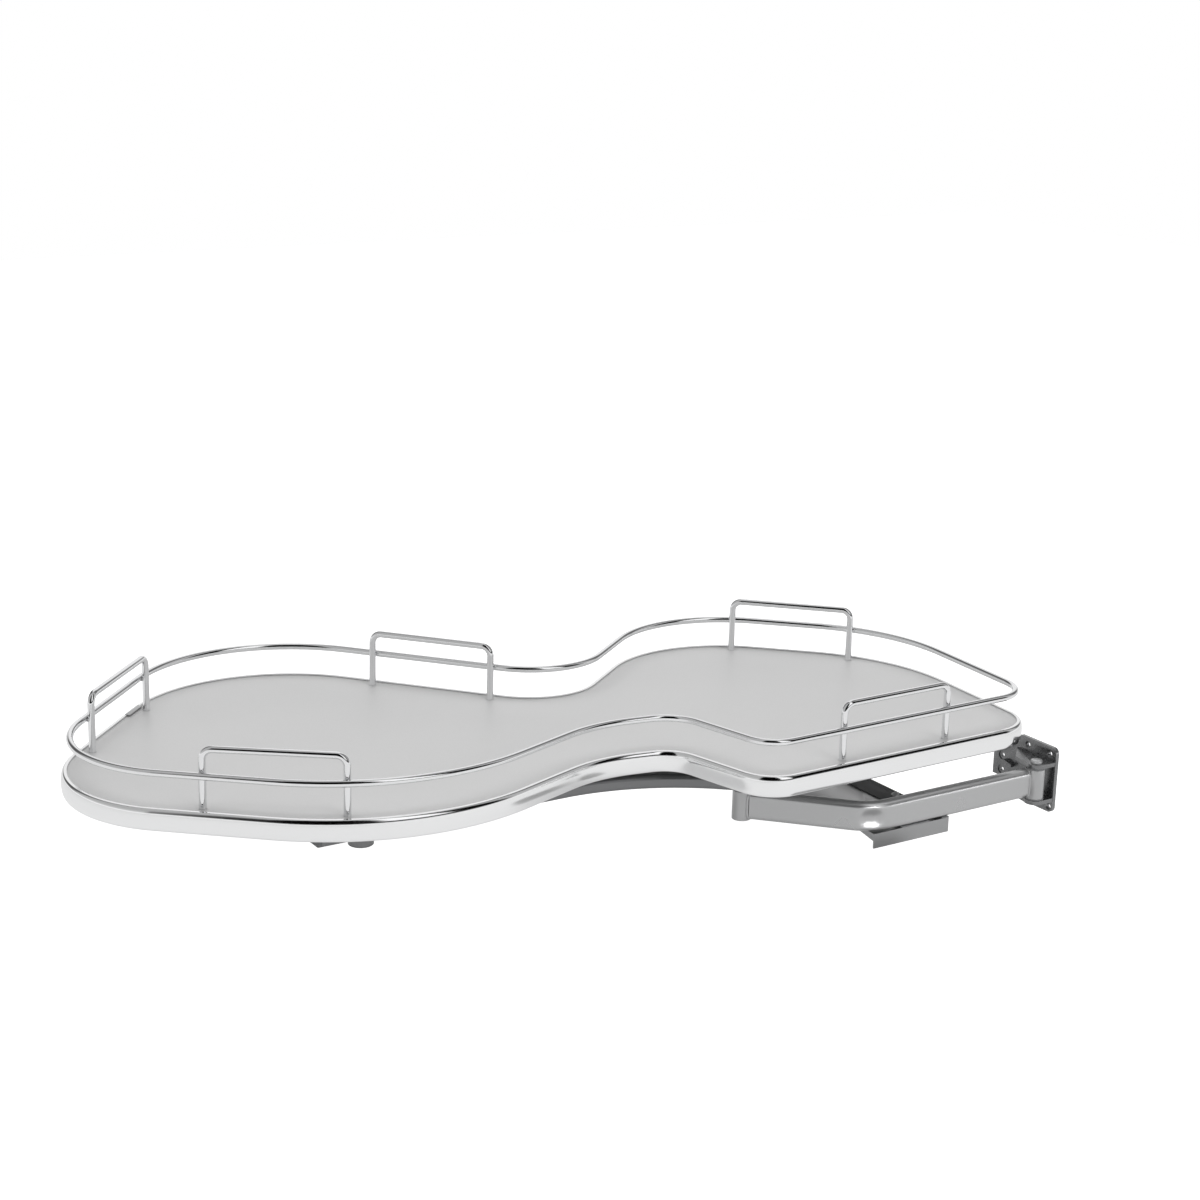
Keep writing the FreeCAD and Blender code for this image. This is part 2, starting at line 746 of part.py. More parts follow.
def stay_plate():
    """The folded sheet under the swing arm, its spacers, its buffer strip and screws."""
    top = arm_bottom - size("spacer_height")
    sheet_low = top - size("stay_sheet")
    right = -size("stay_right")
    left = right - size("stay_width")
    front = arm_y - size("stay_front")
    rear = front + size("stay_depth")
    body = doc.addObject("PartDesign::Body", "stay_plate")
    flat = sketch_on(body, "stay_flat", "XY_Plane")
    lift(flat, sheet_low)
    draw_polygon(flat, [(left, front), (left, rear), (right, rear), (right, front)])
    pad(body, flat, size("stay_sheet"))
    lip = sketch_on(body, "stay_front_lip", "XY_Plane")
    lift(lip, sheet_low - size("stay_lip"))
    inside = front + size("stay_sheet")
    draw_polygon(lip, [(left, front), (left, inside), (right, inside), (right, front)])
    pad(body, lip, size("stay_lip") + size("stay_sheet") / 2)
    side = sketch_on(body, "stay_side_lip", "YZ_Plane")
    lift(side, left)
    draw_polygon(side, [
        (front, top - size("stay_sheet") / 2),
        (front, sheet_low - size("stay_side_lip")),
        (inside, sheet_low - size("stay_side_lip")),
        (inside + size("stay_side_length"), top - size("stay_sheet") / 2),
    ])
    pad(body, side, size("stay_sheet"))
    strip_x = right - size("strip_screw_inset")
    strip_first = arm_y + size("strip_screw_place")
    strip_spots = [(strip_x, strip_first), (strip_x, strip_first + size("strip_screw_spacing"))]
    arm_spots = [(x, arm_y) for x in stay_screw_places()]
    holes = sketch_on(body, "stay_holes", "XY_Plane")
    draw_circles(holes, arm_spots + strip_spots, screw_hole)
    drill(body, holes)
    near = arm_y - size("spacer_width") / 2
    first = right - size("spacer_inset") - size("spacer_long")
    long_spacer = cut(
        "spacer_long_drilled",
        box("spacer_long_block", first, near, top, size("spacer_long"), size("spacer_width"),
            size("spacer_height")),
        *[cylinder("spacer_hole_%d" % i, x, y, top - 1, screw_hole, size("spacer_height") + 2)
          for i, (x, y) in enumerate(arm_spots)])
    short_spacer = box("spacer_short_block", right - size("spacer_short"), near, top, size("spacer_short"),
                       size("spacer_width"), size("spacer_height"))
    gather("stay_spacers", long_spacer, short_spacer)
    gather("stay_screws", *[
        pan_screw("stay_screw_%d" % i, x, y, sheet_low, size("stay_screw_length"), True)
        for i, (x, y) in enumerate(arm_spots)])
    cut("buffer_strip",
        box("strip_block", right - size("strip_width"), arm_y + size("strip_front"), top, size("strip_width"),
            size("strip_length"), size("strip_height")),
        *[cylinder("strip_hole_%d" % i, x, y, top - 1, screw_hole, size("strip_height") + 2)
          for i, (x, y) in enumerate(strip_spots)])
    reach = size("strip_height") + size("stay_sheet")
    gather("strip_screws", *[
        pan_screw("strip_screw_%d" % i, x, y, top + size("strip_height"), reach, False)
        for i, (x, y) in enumerate(strip_spots)])


def link_way():
    """Start, corner and end of the link arm's way, seen from above."""
    start = (tray_x - size("link_tail"), tray_y)
    corner = (link_x - size("link_leg_run"), tray_y)
    leg_x, leg_y = link_x - corner[0], link_y - corner[1]
    length = math.hypot(leg_x.value, leg_y.value)
    past = size("link_head") / Size(length, "sqrt(%s^2 + %s^2)" % (leg_x.text, leg_y.text))
    return start, corner, (link_x + leg_x * past, link_y + leg_y * past)


def end_plug(name, x, y, turn):
    """A plastic plug in a tube's end: a block inside and a cap across the end face."""
    side = size("link_width") / 2
    gap = size("plug_clearance")
    inset = size("link_wall") + gap
    block = box(name + "_block", 0, inset - side, link_bottom + inset, size("plug_depth"),
                size("link_width") - 2 * inset, size("link_height") - 2 * inset)
    cap = doc.addObject("PartDesign::Body", name + "_cap")
    face = sketch_on(cap, name + "_face", "YZ_Plane")
    lift(face, -size("plug_cap"))
    round_radius = size("link_corner")
    draw_rounded(face, [
        (-side, link_bottom, round_radius),
        (-side, link_top, round_radius),
        (side, link_top, round_radius),
        (side, link_bottom, round_radius),
    ])
    pad(cap, face, size("plug_cap"))
    plug = fuse(name, trimmed(name + "_core", block, inset), cap)
    plug.Placement = FreeCAD.Placement(Vector(x.value, y.value, 0), FreeCAD.Rotation(UP, turn))
    return plug


def trimmed(name, block, inset):
    """The plug's block with its long edges rounded to the inside of the tube."""
    doc.recompute()
    item = doc.addObject("Part::Fillet", name)
    item.Base = block
    radius = max((size("link_corner") - inset).value, 0.2)
    chosen = []
    for i, edge in enumerate(block.Shape.Edges):
        if abs(edge.tangentAt(edge.FirstParameter).x) > 0.99:
            chosen.append((i + 1, radius, radius))
    item.Edges = chosen
    return item


def link_arm():
    """The flat bent tube over the swing arm, with its sleeve, boss, pin, plugs and glides."""
    start, corner, end = link_way()
    body = tube_body(
        "link_tube", start, corner, end, size("link_bend_radius"), size("link_width"),
        link_bottom, link_top, size("link_corner"), size("link_wall"))
    for name, x, y, radius in (
        ("sleeve_room", link_x, link_y, size("sleeve_radius")),
        ("boss_room", tray_x, tray_y, size("boss_radius")),
    ):
        room = sketch_on(body, name, "XY_Plane")
        draw_circles(room, [(x, y)], radius + size("weld_gap"))
        drill(body, room)
    sleeve_low = arm_top + size("bush_flange") + size("side_clearance")
    length = link_top - sleeve_low
    cut("link_pivot_sleeve",
        cylinder("sleeve_outside", link_x, link_y, sleeve_low, size("sleeve_radius"), length),
        cylinder("sleeve_bore", link_x, link_y, sleeve_low, pin_seat, length))
    ledge = far_barrel_low + size("barrel_sink_depth")
    clip_top = ledge - size("bush_flange") - size("side_clearance")
    groove_low = clip_top - size("clip_thickness") + size("clip_slack")
    grooved_pin("link_pin", link_x, link_y, link_top, groove_low)
    retaining_clip("link_pin_clip", link_x, link_y, groove_low)
    boss_low = link_bottom - size("boss_drop")
    boss_ledge = boss_low + size("barrel_sink_depth")
    sink = size("boss_radius") - size("barrel_sink_wall")
    height = link_top - boss_low
    cut("tray_pivot_boss",
        cylinder("boss_outside", tray_x, tray_y, boss_low, size("boss_radius"), height),
        cylinder("boss_bore", tray_x, tray_y, boss_low, bush_seat, height),
        cylinder("boss_sink", tray_x, tray_y, boss_low, sink, size("barrel_sink_depth")))
    rim = sink - size("fit_clearance")
    bush_pair("tray_bushes", tray_x, tray_y, boss_ledge, link_top, rim, size("boss_radius"))
    dome = doc.addObject("Part::Ellipsoid", "boss_dome")
    outer = size("boss_radius")
    bind(dome, x=tray_x, y=tray_y, z=boss_low, Radius1=size("boss_dome"), Radius2=outer, Radius3=outer)
    dome.Angle2 = 0
    fuse("boss_cap", dome, cylinder("boss_cap_spigot", tray_x, tray_y, boss_low, rim, size("cap_thickness")))
    leg = Vector((link_x - corner[0]).value, (link_y - corner[1]).value, 0)
    turn = math.degrees(math.atan2(leg.y, leg.x)) + 180
    gather("link_end_plugs",
           end_plug("plug_tail", start[0], start[1], 0),
           end_plug("plug_head", end[0], end[1], turn))
    reach = board_bottom - size("side_clearance") - link_top
    gather("glide_pads", *[
        cylinder("glide_%d" % i, tray_x + size("glide_first") + i * size("glide_spacing"), tray_y, link_top,
                 size("glide_radius"), reach)
        for i in range(2)])


def along(edges, distance):
    """The point at a distance along a closed chain of edges."""
    distance = distance % sum(edge.Length for edge in edges)
    for edge in edges:
        if distance <= edge.Length:
            return edge.valueAt(edge.getParameterByLength(distance))
        distance -= edge.Length
    return edges[0].valueAt(edges[0].FirstParameter)


def tray_corner_sizes():
    """The tray's corners in the cabinet's frame, with their radii."""
    return [
        (tray_x + size(name + "_right"), tray_y + size(name + "_behind"), size(name + "_radius"))
        for name, _, _, _ in TRAY_CORNERS
    ]


def outline_at(name, source, value, level, ring=False):
    """The tray's outline moved outwards by a value and lifted to a level."""
    item = doc.addObject("Part::Offset2D", name)
    item.Source = source
    item.Value = as_size(value).value
    item.Fill = ring
    return bind(item, Value=value, z=level)


def raised(name, base, height, level):
    """A flat outline made into a solid of a height that stands on a level."""
    item = doc.addObject("Part::Extrusion", name)
    item.Base = base
    item.DirMode = "Custom"
    item.Dir = UP
    item.Solid = True
    return bind(item, LengthFwd=height, z=level)


def loop_feet(edges, start_corner, shift):
    """The two feet of a raised loop on the inset line, a loop's length apart."""
    names = [corner[0] for corner in TRAY_CORNERS]
    index = 2 * names.index(start_corner) + 1
    middle = sum(edge.Length for edge in edges[:index]) + edges[index].Length / 2 + shift
    target = size("loop_length").value
    low, high = target / 4, target
    for _ in range(60):
        half = (low + high) / 2
        first, second = along(edges, middle - half), along(edges, middle + half)
        if (second - first).Length < target:
            low = half
        else:
            high = half
    return first, second


def loop_wire(first, second, low, high):
    """An upside-down U of round wire on two feet."""
    radius = size("loop_corner").value
    way = (second - first).normalize()
    bow = radius * (1 - math.sqrt(0.5))
    foot_a, foot_b = Vector(first.x, first.y, low), Vector(second.x, second.y, low)
    top_a, top_b = Vector(first.x, first.y, high), Vector(second.x, second.y, high)
    path = Part.Wire([
        Part.LineSegment(foot_a, top_a - UP * radius).toShape(),
        Part.Arc(top_a - UP * radius, top_a + way * bow - UP * bow, top_a + way * radius).toShape(),
        Part.LineSegment(top_a + way * radius, top_b - way * radius).toShape(),
        Part.Arc(top_b - way * radius, top_b - way * bow - UP * bow, top_b - UP * radius).toShape(),
        Part.LineSegment(top_b - UP * radius, foot_b).toShape(),
    ])
    ring = Part.Wire(Part.makeCircle(size("wire_radius").value, foot_a, UP))
    return path.makePipeShell([ring], True, False)


def plate_screw_places():
    """Places of the four screws that hold the pivot plate to the board."""
    across = size("pivot_plate_length") / 2 - size("plate_screw_inset_x")
    deep = size("pivot_plate_depth") / 2 - size("plate_screw_inset_y")
    return [(tray_x + sx * across, tray_y + sy * deep) for sx in (-1, 1) for sy in (-1, 1)]


def tray_board(outline, inset, clear_height):
    """The board with sockets for the posts, and the loops with the screws that hold them."""
    blank = raised("board_blank", outline_at("board_outline", outline, size("board_overhang"), 0),
                   size("board_thickness"), board_bottom)
    socket_low = board_top - size("post_depth")
    loop_top = board_top + size("loop_height")
    length = socket_low - board_bottom - size("screw_end_gap")
    mouth = size("screw_head_radius") + size("fit_clearance")
    tools = []
    screws = []
    for name, start_corner, _ in LOOPS:
        feet = loop_feet(inset, start_corner, size(name + "_shift").value)
        made(name, loop_wire(feet[0], feet[1], socket_low.value, loop_top.value))
        for side, foot in enumerate(feet):
            spot = "%s_%d" % (name, side)
            tools += [
                cylinder(spot + "_socket", foot.x, foot.y, socket_low, size("wire_radius") + size("post_clearance"),
                         clear_height),
                cylinder(spot + "_drill", foot.x, foot.y, board_bottom, screw_hole, size("board_thickness")),
                cone(spot + "_mouth", foot.x, foot.y, board_bottom, mouth, screw_hole, screw_sink),
            ]
            screws.append(flat_screw(spot + "_screw", as_size(foot.x), as_size(foot.y), board_bottom, length))
    gather("loop_screws", *screws)
    reach = size("plate_screw_length") - size("pivot_plate_height") + size("screw_end_gap")
    for i, (x, y) in enumerate(plate_screw_places()):
        tools.append(cylinder("plate_screw_room_%d" % i, x, y, board_bottom, screw_hole, reach))
    cut("tray_board", blank, fuse("board_holes", *tools))


def edge_band(outline, corners):
    """The chrome band round the board: flat inside, bulging outside, with a lip over the edge."""
    points = [Vector(x, y, 0) for x, y, _ in corners]
    radii = fitting_radii(points, [radius for _, _, radius in corners])
    start = corner_arc(points[-1], points[0], points[1], radii[0])[2]
    along_edge = (points[1] - points[0]).normalize()
    outward = UP.cross(along_edge)
    section = doc.addObject("Sketcher::SketchObject", "band_section")
    section.Placement = FreeCAD.Placement(start, FreeCAD.Rotation(outward, UP, outward.cross(UP), "XYZ"))
    inner = size("board_overhang") + size("band_clearance")
    crest = board_top + size("band_lip_height")
    corner_list = [
        (size("band_crest"), crest),
        (as_size(0.0), crest),
        (as_size(0.0), board_top + size("weld_gap")),
        (inner, board_top + size("weld_gap")),
        (inner, board_bottom),
        (size("band_foot"), board_bottom),
    ]
    spots = [Vector(u.value, v.value, 0) for u, v in corner_list]
    widest = Vector(size("band_bulge").value, ((board_bottom + crest) / 2).value, 0)
    for here, there in zip(spots, spots[1:]):
        section.addGeometry(Part.LineSegment(here, there), False)
    face = section.addGeometry(arc_through(spots[-1], widest, spots[0]), False)
    mark = section.addGeometry(Part.Point(widest), True)
    for i in range(len(spots) - 2):
        section.addConstraint(Sketcher.Constraint("Coincident", i, 2, i + 1, 1))
    section.addConstraint([
        Sketcher.Constraint("Coincident", len(spots) - 2, 2, face, 1),
        Sketcher.Constraint("Coincident", 0, 1, face, 2),
        Sketcher.Constraint("PointOnObject", mark, 1, face),
    ])
    for i, (u, v) in enumerate(corner_list[:-1]):
        tie(section, "DistanceX", i, 1, u)
        tie(section, "DistanceY", i, 1, v)
    tie(section, "DistanceX", len(spots) - 2, 2, corner_list[-1][0])
    tie(section, "DistanceY", len(spots) - 2, 2, corner_list[-1][1])
    tie(section, "DistanceX", mark, 1, size("band_bulge"))
    tie(section, "DistanceY", mark, 1, (board_bottom + crest) / 2)
    band = doc.addObject("Part::Sweep", "edge_band")
    band.Sections = [section]
    band.Spine = (outline, [])
    band.Solid = True


def arc_through(start, middle, end):
    """A counter-clockwise arc from start through middle to end."""
    circle = Part.Arc(start, middle, end).toShape().Curve
    first = math.atan2(start.y - circle.Center.y, start.x - circle.Center.x)
    last = math.atan2(end.y - circle.Center.y, end.x - circle.Center.x)
    if last < first:
        last += 2 * math.pi
    return Part.ArcOfCircle(Part.Circle(circle.Center, UP, circle.Radius), first, last)


def guard_rail(outline):
    """The closed rail of round wire that the loops' posts carry."""
    line = outline_at("rail_line", outline, -size("rail_inset"), board_top + size("rail_height"))
    doc.recompute()
    edges = line.Shape.Edges
    start = edges[0].valueAt(edges[0].FirstParameter)
    ring = doc.addObject("Part::Circle", "rail_section")
    ring.Placement = FreeCAD.Placement(start, FreeCAD.Rotation(UP, edges[0].tangentAt(edges[0].FirstParameter)))
    bind(ring, Radius=size("wire_radius"))
    rail = doc.addObject("Part::Sweep", "guard_rail")
    rail.Sections = [ring]
    rail.Spine = (line, ["Edge%d" % (i + 1) for i in range(len(edges))])
    rail.Solid = True


def band_joiner(outline, corners):
    """The thin chrome clip on the band's lip that covers its joint near the left tip."""
    inner_line = outline_at("joiner_line", outline, -size("joiner_overlap"), 0)
    width = size("joiner_overlap") + size("band_crest") - size("weld_gap")
    ring = outline_at("joiner_ring", inner_line, width, 0, ring=True)
    low = board_top + size("band_lip_height") + size("weld_gap")
    sleeve = raised("joiner_sleeve", ring, size("joiner_thickness"), low)
    edges = rounded_loop(corners, 0.0)
    names = [corner[0] for corner in TRAY_CORNERS]
    index = 2 * names.index("left_tip") + 1
    place = sum(edge.Length for edge in edges[:index]) + edges[index].Length / 2 + size("joiner_place").value
    spot = along(edges, place)
    turn = FreeCAD.Rotation(Vector(1, 0, 0), along(edges, place + 1) - spot)
    window = doc.addObject("Part::Box", "joiner_window")
    bind(window, Length=size("joiner_length"), Width=size("joiner_length"), Height=2 * board_top)
    half = size("joiner_length").value / 2
    window.Placement = FreeCAD.Placement(Vector(spot.x, spot.y, 0) - turn.multVec(Vector(half, half, 0)), turn)
    clip = doc.addObject("Part::MultiCommon", "band_joiner")
    clip.Shapes = [sleeve, window]


def tray():
    """The board, band, rail and loops on one outline."""
    sizes = tray_corner_sizes()
    outline = doc.addObject("Sketcher::SketchObject", "tray_outline")
    draw_rounded(outline, sizes)
    doc.recompute()
    corners = [(x.value, y.value, radius.value) for x, y, radius in sizes]
    post_inset = size("rail_inset") + 2 * size("wire_radius")
    clear_height = size("board_thickness") + 10
    tray_board(outline, rounded_loop(corners, -post_inset.value), clear_height)
    edge_band(outline, corners)
    guard_rail(outline)
    band_joiner(outline, corners)


def tray_pivot():
    """The plate under the left lobe, its screws, and the pin that turns in the link arm."""
    body = doc.addObject("PartDesign::Body", "pivot_plate")
    across, deep = size("pivot_plate_length") / 2, size("pivot_plate_depth") / 2
    plate = sketch_on(body, "pivot_outline", "XY_Plane")
    lift(plate, plate_bottom)
    draw_rounded(plate, [
        (tray_x - across, tray_y - deep, size("pivot_plate_round")),
        (tray_x - across, tray_y + deep, size("pivot_plate_round")),
        (tray_x + across, tray_y + deep, size("pivot_plate_round")),
        (tray_x + across, tray_y - deep, size("pivot_plate_round")),
    ])
    pad(body, plate, size("pivot_plate_height"))
    holes = sketch_on(body, "plate_screw_holes", "XY_Plane")
    draw_circles(holes, plate_screw_places(), screw_hole)
    drill(body, holes)
    dress_edges(body, "Chamfer", small_rim("z", plate_bottom.value), screw_sink)
    eye = sketch_on(body, "pivot_eye", "XY_Plane")
    draw_circles(eye, [(tray_x, tray_y)], pin_seat)
    drill(body, eye)
    gather("plate_screws", *[
        flat_screw("plate_screw_%d" % i, x, y, plate_bottom, size("plate_screw_length"))
        for i, (x, y) in enumerate(plate_screw_places())])
    collar_low = link_top + size("bush_flange") + size("side_clearance")
    cut("pivot_collar",
        cylinder("collar_outside", tray_x, tray_y, collar_low, size("collar_radius"), plate_bottom - collar_low),
        cylinder("collar_bore", tray_x, tray_y, collar_low, pin_seat, plate_bottom - collar_low))
    ledge = link_bottom - size("boss_drop") + size("barrel_sink_depth")
    clip_top = ledge - size("bush_flange") - size("side_clearance")
    groove_low = clip_top - size("clip_thickness") + size("clip_slack")
    grooved_pin("tray_pin", tray_x, tray_y, board_bottom, groove_low)
    retaining_clip("tray_pin_clip", tray_x, tray_y, groove_low)


PIECES = [
    "hinge_bracket", "hinge_pin", "hinge_pin_clip",
    "arm_tube", "arm_hinge_barrel", "hinge_bushes", "arm_link_barrel", "link_bushes", "arm_barrel_cap",
    "stay_plate", "stay_spacers", "stay_screws", "buffer_strip", "strip_screws",
    "link_tube", "link_pivot_sleeve", "tray_pivot_boss", "link_pin", "link_pin_clip",
    "tray_bushes", "boss_cap", "link_end_plugs", "glide_pads",
    "tray_board", "edge_band", "band_joiner", "guard_rail",
    "loop_left_front", "loop_left_back", "loop_waist_back", "loop_right_back", "loop_right_front",
    "loop_screws", "pivot_plate", "plate_screws", "pivot_collar", "tray_pin", "tray_pin_clip",
]


def write_pieces():
    """Check every object and write each piece to its own file."""
    doc.recompute()
    for item in doc.Objects:
        if "Invalid" in item.State or "Error" in item.State:
            raise RuntimeError("%s did not compute" % item.Name)
    os.makedirs("parts", exist_ok=True)
    for name in PIECES:
        shape = doc.getObject(name).Shape
        if shape.isNull() or not shape.isValid():
            raise RuntimeError("%s has no valid shape" % name)
        if not shape.Solids or min(solid.Volume for solid in shape.Solids) <= 0:
            raise RuntimeError("%s is not made of solids" % name)
        shape.exportStep("parts/%s.step" % name)
        print("%-20s %d solids %10.1f mm3" % (name, len(shape.Solids), shape.Volume))


hinge_bracket()
hinge()
swing_arm()
stay_plate()
link_arm()
tray()
tray_pivot()
write_pieces()
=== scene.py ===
import json
import logging
import math
from collections.abc import Callable, Sequence
from dataclasses import dataclass
from enum import Enum

import bpy
from mathutils import Matrix, Vector


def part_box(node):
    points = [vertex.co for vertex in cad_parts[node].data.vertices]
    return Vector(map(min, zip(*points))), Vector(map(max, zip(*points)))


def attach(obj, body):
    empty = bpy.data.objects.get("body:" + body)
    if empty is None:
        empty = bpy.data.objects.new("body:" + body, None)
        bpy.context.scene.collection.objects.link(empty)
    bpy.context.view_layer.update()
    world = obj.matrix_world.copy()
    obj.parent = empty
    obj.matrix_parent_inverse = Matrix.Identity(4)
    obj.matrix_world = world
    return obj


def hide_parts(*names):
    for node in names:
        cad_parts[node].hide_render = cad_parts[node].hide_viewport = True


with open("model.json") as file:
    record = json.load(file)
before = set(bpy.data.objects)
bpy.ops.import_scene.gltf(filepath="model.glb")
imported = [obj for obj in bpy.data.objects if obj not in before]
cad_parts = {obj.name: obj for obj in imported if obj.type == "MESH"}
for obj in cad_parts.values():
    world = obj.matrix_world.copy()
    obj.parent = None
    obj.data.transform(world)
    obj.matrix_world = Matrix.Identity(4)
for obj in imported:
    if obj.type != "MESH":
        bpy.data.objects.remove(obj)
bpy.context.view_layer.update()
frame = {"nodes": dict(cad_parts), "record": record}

# A pull-out tray for a blind corner cabinet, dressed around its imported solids. The sizes of its
# pieces are in millimetres; meshes, the studio and the camera are in metres. X runs along the
# cabinet's front, and Z is up.

MM = 0.001
UP = Vector((0.0, 0.0, 1.0))

# An edge is sharp where its faces turn by more than SHARP, and directions closer than FLAT are
# one. Points closer than SAME_CORNER on a solid, or SAME_POINT on a new piece, are one.
SHARP = math.radians(34.0)
FLAT = math.radians(0.6)
SAME_CORNER = 0.002 * MM
SAME_POINT = 0.005 * MM

# A face looks along an axis where that share of its normal does. HAIR is in millimetres.
FACING = 0.9
HAIR = 0.01

# A noise keeps mostly between these two values.
NOISE_LOW = 0.3
NOISE_HIGH = 0.7

log = logging.getLogger("organizer")


def mm(x: float, y: float, z: float) -> Vector:
    """A place in metres from a place in millimetres."""
    return Vector((x, y, z)) * MM


# Finishes


class Pattern(Enum):
    """What breaks up a plain surface."""

    POLISH = "faint waves and hairlines of polished chrome"
    TURNED = "fine rings left by turning"
    PAINT = "fine flakes and the skin of sprayed paint"
    CAST = "the grain of a painted casting"
    LAMINATE = "the fine pearl grain of a laminate"
    MOULDED = "spark-eroded grain of moulded plastic"


@dataclass(frozen=True)
class Finish:
    """A surface finish: its colour, gloss and the pattern that breaks them up.

    The pattern has `grain` features to the metre and is `depth` millimetres deep. The colour varies
    by the share `uneven`, the roughness by `gloss_change`. `rim` tints metal seen edge on.
    """

    name: str
    slot: str
    pattern: Pattern
    colour: tuple[float, float, float]
    metallic: float
    roughness: float
    grain: float
    depth: float
    uneven: float = 0.05
    gloss_change: float = 0.06
    rim: float = 1.0

    def material(self) -> bpy.types.Material:
        """The finish as a node material, made once.

        Returns:
            The material of this finish.
        """
        known = bpy.data.materials.get(self.name)
        return known if known else MaterialDesk(self).build()


class MaterialDesk:
    """Builds one finish from shader nodes."""

    def __init__(self, finish: Finish) -> None:
        """Start with an empty principled material.

        Args:
            finish: The finish to build.
        """
        self.finish = finish
        self.material = bpy.data.materials.new(finish.name)
        self.material.use_nodes = True
        self.tree = self.material.node_tree
        self.shader = self.tree.nodes["Principled BSDF"]
        self.where = self.tree.nodes.new("ShaderNodeTexCoord").outputs["Object"]

    def noise(
        self,
        scale: float,
        detail: float,
        stretch: tuple[float, float, float],
    ) -> bpy.types.NodeSocket:
        """A noise field over the object's own coordinates.

        Args:
            scale: Features for each metre.
            detail: Octaves of the noise.
            stretch: Scale along each axis.

        Returns:
            The noise's factor socket.
        """
        mapping = self.tree.nodes.new("ShaderNodeMapping")
        mapping.inputs["Scale"].default_value = stretch
        texture = self.tree.nodes.new("ShaderNodeTexNoise")
        texture.inputs["Scale"].default_value = scale
        texture.inputs["Detail"].default_value = detail
        self.tree.links.new(self.where, mapping.inputs["Vector"])
        self.tree.links.new(mapping.outputs["Vector"], texture.inputs["Vector"])
        return texture.outputs["Fac"]

    def spread(self, source: bpy.types.NodeSocket, low: float, high: float) -> bpy.types.NodeSocket:
        """Spread a factor between two values.

        Args:
            source: A socket between 0 and 1.
            low: The value at NOISE_LOW and below.
            high: The value at NOISE_HIGH and above.

        Returns:
            The spread value.
        """
        node = self.tree.nodes.new("ShaderNodeMapRange")
        node.inputs["From Min"].default_value = NOISE_LOW
        node.inputs["From Max"].default_value = NOISE_HIGH
        node.inputs["To Min"].default_value = low
        node.inputs["To Max"].default_value = high
        self.tree.links.new(source, node.inputs["Value"])
        return node.outputs["Result"]

    def tint(self, source: bpy.types.NodeSocket) -> None:
        """Vary the colour a little by a field.

        Args:
            source: A socket between 0 and 1.
        """
        ramp = self.tree.nodes.new("ShaderNodeValToRGB")
        share = self.finish.uneven
        stops = ((NOISE_LOW, 1.0 - share), (NOISE_HIGH, 1.0 + share))
        for stop, (place, factor) in zip(ramp.color_ramp.elements, stops):
            stop.position = place
            stop.color = (*[min(1.0, value * factor) for value in self.finish.colour], 1.0)
        self.tree.links.new(source, ramp.inputs["Fac"])
        self.tree.links.new(ramp.outputs["Color"], self.shader.inputs["Base Color"])

    def gloss(self, source: bpy.types.NodeSocket) -> None:
        """Vary the roughness by a field.

        Args:
            source: A socket between 0 and 1.
        """
        half = self.finish.gloss_change / 2
        base = self.finish.roughness
        self.tree.links.new(self.spread(source, base - half, base + half), self.shader.inputs["Roughness"])

    def bump(self, source: bpy.types.NodeSocket) -> None:
        """Raise the surface by a field.

        Args:
            source: A socket between 0 and 1.
        """
        node = self.tree.nodes.new("ShaderNodeBump")
        node.inputs["Distance"].default_value = self.finish.depth * MM
        node.inputs["Strength"].default_value = 1.0
        self.tree.links.new(source, node.inputs["Height"])
        self.tree.links.new(node.outputs["Normal"], self.shader.inputs["Normal"])

    def build(self) -> bpy.types.Material:
        """Join the fields that the pattern asks for.

        Returns:
            The finished material.
        """
        finish = self.finish
        self.shader.inputs["Metallic"].default_value = finish.metallic
        self.shader.inputs["Specular Tint"].default_value = (finish.rim, finish.rim, finish.rim, 1.0)
        even = (1.0, 1.0, 1.0)
        cloud = self.noise(14.0, 2.0, even)
        match finish.pattern:
            case Pattern.POLISH:
                self.tint(cloud)
                self.gloss(self.noise(finish.grain * 6.0, 3.0, (1.0, 1.0, 0.15)))
                self.bump(self.noise(finish.grain, 1.0, even))
            case Pattern.TURNED:
                rings = self.noise(finish.grain, 3.0, (0.04, 0.04, 1.0))
                self.tint(rings)
                self.gloss(cloud)
                self.bump(rings)
            case Pattern.PAINT:
                flakes = self.noise(finish.grain * 4.0, 1.0, even)
                self.tint(flakes)
                self.gloss(cloud)
                self.bump(self.noise(finish.grain, 2.0, even))
            case Pattern.CAST:
                self.tint(cloud)
                self.gloss(self.noise(finish.grain * 0.3, 3.0, even))
                self.bump(self.noise(finish.grain, 6.0, even))
            case Pattern.LAMINATE:
                self.tint(self.noise(finish.grain, 2.0, (1.0, 0.6, 1.0)))
                self.gloss(self.noise(9.0, 3.0, even))
                self.bump(self.noise(finish.grain * 0.8, 3.0, even))
            case Pattern.MOULDED:
                self.tint(cloud)
                self.gloss(cloud)
                self.bump(self.noise(finish.grain, 4.0, even))
        return self.material


CHROME_BAND = Finish(
    "chrome_band", "chrome_band", Pattern.POLISH, (0.93, 0.932, 0.935),
    metallic=1.0, roughness=0.07, grain=26.0, depth=0.02, uneven=0.01, gloss_change=0.04, rim=0.7)
CHROME_WIRE = Finish(
    "chrome_wire", "chrome_wire", Pattern.POLISH, (0.62, 0.623, 0.626),
    metallic=1.0, roughness=0.06, grain=60.0, depth=0.01, uneven=0.02, gloss_change=0.05, rim=0.2)
WELD_METAL = Finish(
    "weld_metal", "chrome_wire", Pattern.CAST, (0.42, 0.42, 0.43),
    metallic=1.0, roughness=0.28, grain=900.0, depth=0.05)
CLIP_STEEL = Finish(
    "clip_steel", "chrome_wire", Pattern.POLISH, (0.42, 0.423, 0.427),
    metallic=1.0, roughness=0.20, grain=60.0, depth=0.01, uneven=0.02, gloss_change=0.05)
